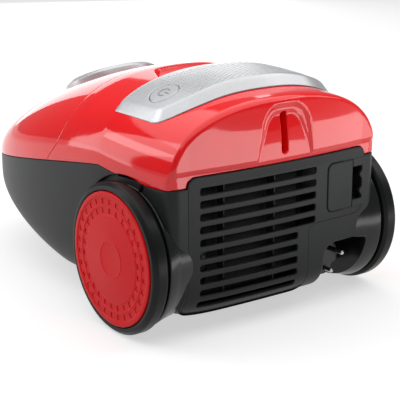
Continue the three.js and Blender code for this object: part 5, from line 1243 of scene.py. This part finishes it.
# %% Plug
PLUG = (-70.0, 171.0, 37.0)
tilt = math.radians(-49)
turn = np.radians(np.arange(0, 360, 5.0))
reach = 17 - 3.4 * np.exp(-((np.sin(turn - tilt) ** 2 - 1) / 0.045) ** 2 * 0.5)
face = np.stack([PLUG[0] + reach * np.cos(turn), PLUG[2] + reach * np.sin(turn)], 1)
grip_part = [(0, 0, 0), (5.7, 0, 1), (6.7, 9, 2), (12.5, 13, 4), (16, 19, 3), (16, 26, 1),
             (0, 26, 0)]
barrel = lathe(grip_part, (PLUG[0], 138, PLUG[2]), (0, 1, 0), 64)
piece("plug_moulding", *together(slab(face, "rear", 154, 171, 1.6), barrel), plug_black, "plug",
      "black_rubber", "plug_body")
for name in ("upper", "lower"):
    low, high = [np.array(corner) * 1000 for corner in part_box("plug_pin_" + name)]
    x, z = (low[0] + high[0]) / 2, (low[2] + high[2]) / 2
    sleeve = lathe([(0, 0, 0), (2.25, 0, 0.2), (2.25, 15.5, 0.15), (0, 15.5, 0)], (x, 166.5, z),
                   (0, 1, 0), 28)
    tip = lathe([(0, 0, 0), (2.0, 0, 0.1), (2.0, 7.5, 1.5), (0, 8.3, 0)], (x, 181.7, z), (0, 1, 0),
                28)
    piece("pin_sleeve_" + name, *sleeve, rubber, "plug", "black_rubber")
    piece("pin_tip_" + name, *tip, zinc, "plug", "plated_steel", "plug_pin_" + name)

# %% Caster wheel
HALF = [(2.3, -7.5, 0.3), (9, -7.5, 0.8), (9.6, -6.3, 0.5), (13.2, -6.3, 0.5), (13.8, -7.5, 0.8),
        (15, -7.2, 0.8), (16, -5, 2)]
ROLLER = HALF + [(radius, -at, rounding) for radius, at, rounding in HALF[::-1]]
piece("caster_roller", *lathe(ROLLER, (0, -95, 16), (1, 0, 0), 48), grey, "caster_roll", "grey_abs",
      "caster_wheel")

# %% [markdown]
# ## Dust bag
# The bag is two layers of fleece welded round the edge, and dust and air fill it out. Cloth
# simulation gives that swell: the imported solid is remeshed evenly, puffed by a small pressure, held
# within a few millimetres of its place, creased a little and smoothed.

# %% Bag
# In metres: the mesh's pitch, how far the cloth may move, how far a crease may pass the packed
# bag, the height of a crease, and the level that parts its upper half from its lower.
VOXEL, SWELL, SPARE, CREASE_HEIGHT, MIDDLE_Z = 0.005, 0.003, 0.002, 0.0006, 0.1
PRESSURE, LAST_FRAME = 4, 15
mesh = nodes["dust_bag"].data.copy()
bag = stand("fleece_bag", mesh)
work = bmesh.new()
work.from_mesh(mesh)
bmesh.ops.remove_doubles(work, verts=work.verts, dist=1e-5)
work.to_mesh(mesh)
work.free()
remesh = bag.modifiers.new("remesh", "REMESH")
remesh.mode, remesh.voxel_size = "VOXEL", VOXEL
bag.data = baked(bag)
bag.modifiers.clear()
start = np.array([v.co for v in bag.data.vertices])
cloth = bag.modifiers.new("cloth", "CLOTH")
cloth.settings.use_pressure = True
cloth.settings.uniform_pressure_force = PRESSURE
cloth.settings.effector_weights.gravity = 0
cloth.settings.quality = 5
for frame_number in range(1, LAST_FRAME + 1):
    bpy.context.scene.frame_set(frame_number)
held = bag.evaluated_get(bpy.context.evaluated_depsgraph_get())
puffed = np.array([v.co for v in held.data.vertices])
bag.modifiers.clear()
bpy.context.scene.frame_set(1)
move = puffed - start
reach = np.linalg.norm(move, axis=1, keepdims=True)
start = start + move * np.minimum(1, SWELL / np.maximum(reach, 1e-9))
bulk = np.array(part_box("dust_bag"))
slant = start[:, X] * 190 + 3 * np.sin(start[:, Y] * 70)
wrinkle = CREASE_HEIGHT * np.sin(slant) * np.sin(start[:, Y] * 160)
start = np.clip(start, bulk[0] - SPARE, bulk[1] + SPARE)
start[:, Z] += np.where(start[:, Z] > MIDDLE_Z, -1, 1) * np.abs(wrinkle)
bag.data.vertices.foreach_set("co", start.ravel())
detail = bag.modifiers.new("smooth", "SUBSURF")
detail.levels = detail.render_levels = 1
bag.data.shade_smooth()
bag.data.materials.clear()
bag.data.materials.append(fleece)
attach(bag, "root")
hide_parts("dust_bag")

# %% [markdown]
# ## Fittings inside
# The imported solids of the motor, reel, holder and pins have the right shape and are seen only when
# the lid or the grille is open. They stay, and each takes the finish of the real thing.

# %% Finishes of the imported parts
kept = {
    soot: ["filter_cage", "exhaust_filter_frame"],
    zinc: ["lid_hinge_pin", "latch_pin", "power_spring", "rewind_spring", "axle_stub_left",
           "axle_stub_right", "caster_axle", "motor_can", "motor_body", "motor_rotor",
           "reel_axle"],
    rubber: ["lid_seal", "inlet_seal", "motor_mount_front", "motor_mount_rear", "cord_winding",
             "cord_lead", "cord_gland"],
    black_grain: ["switch_module", "caster_yoke", "motor_bulkhead"],
    grey: ["rewind_brake", "bag_holder", "reel_drum", "reel_bracket"],
    foam: ["exhaust_filter", "premotor_filter"],
    board: ["bag_collar"],
}
for material, names in kept.items():
    for name in names:
        for holder in nodes[name].material_slots:
            holder.material = material
print(sum(map(len, kept.values())), "packed parts keep their shape")
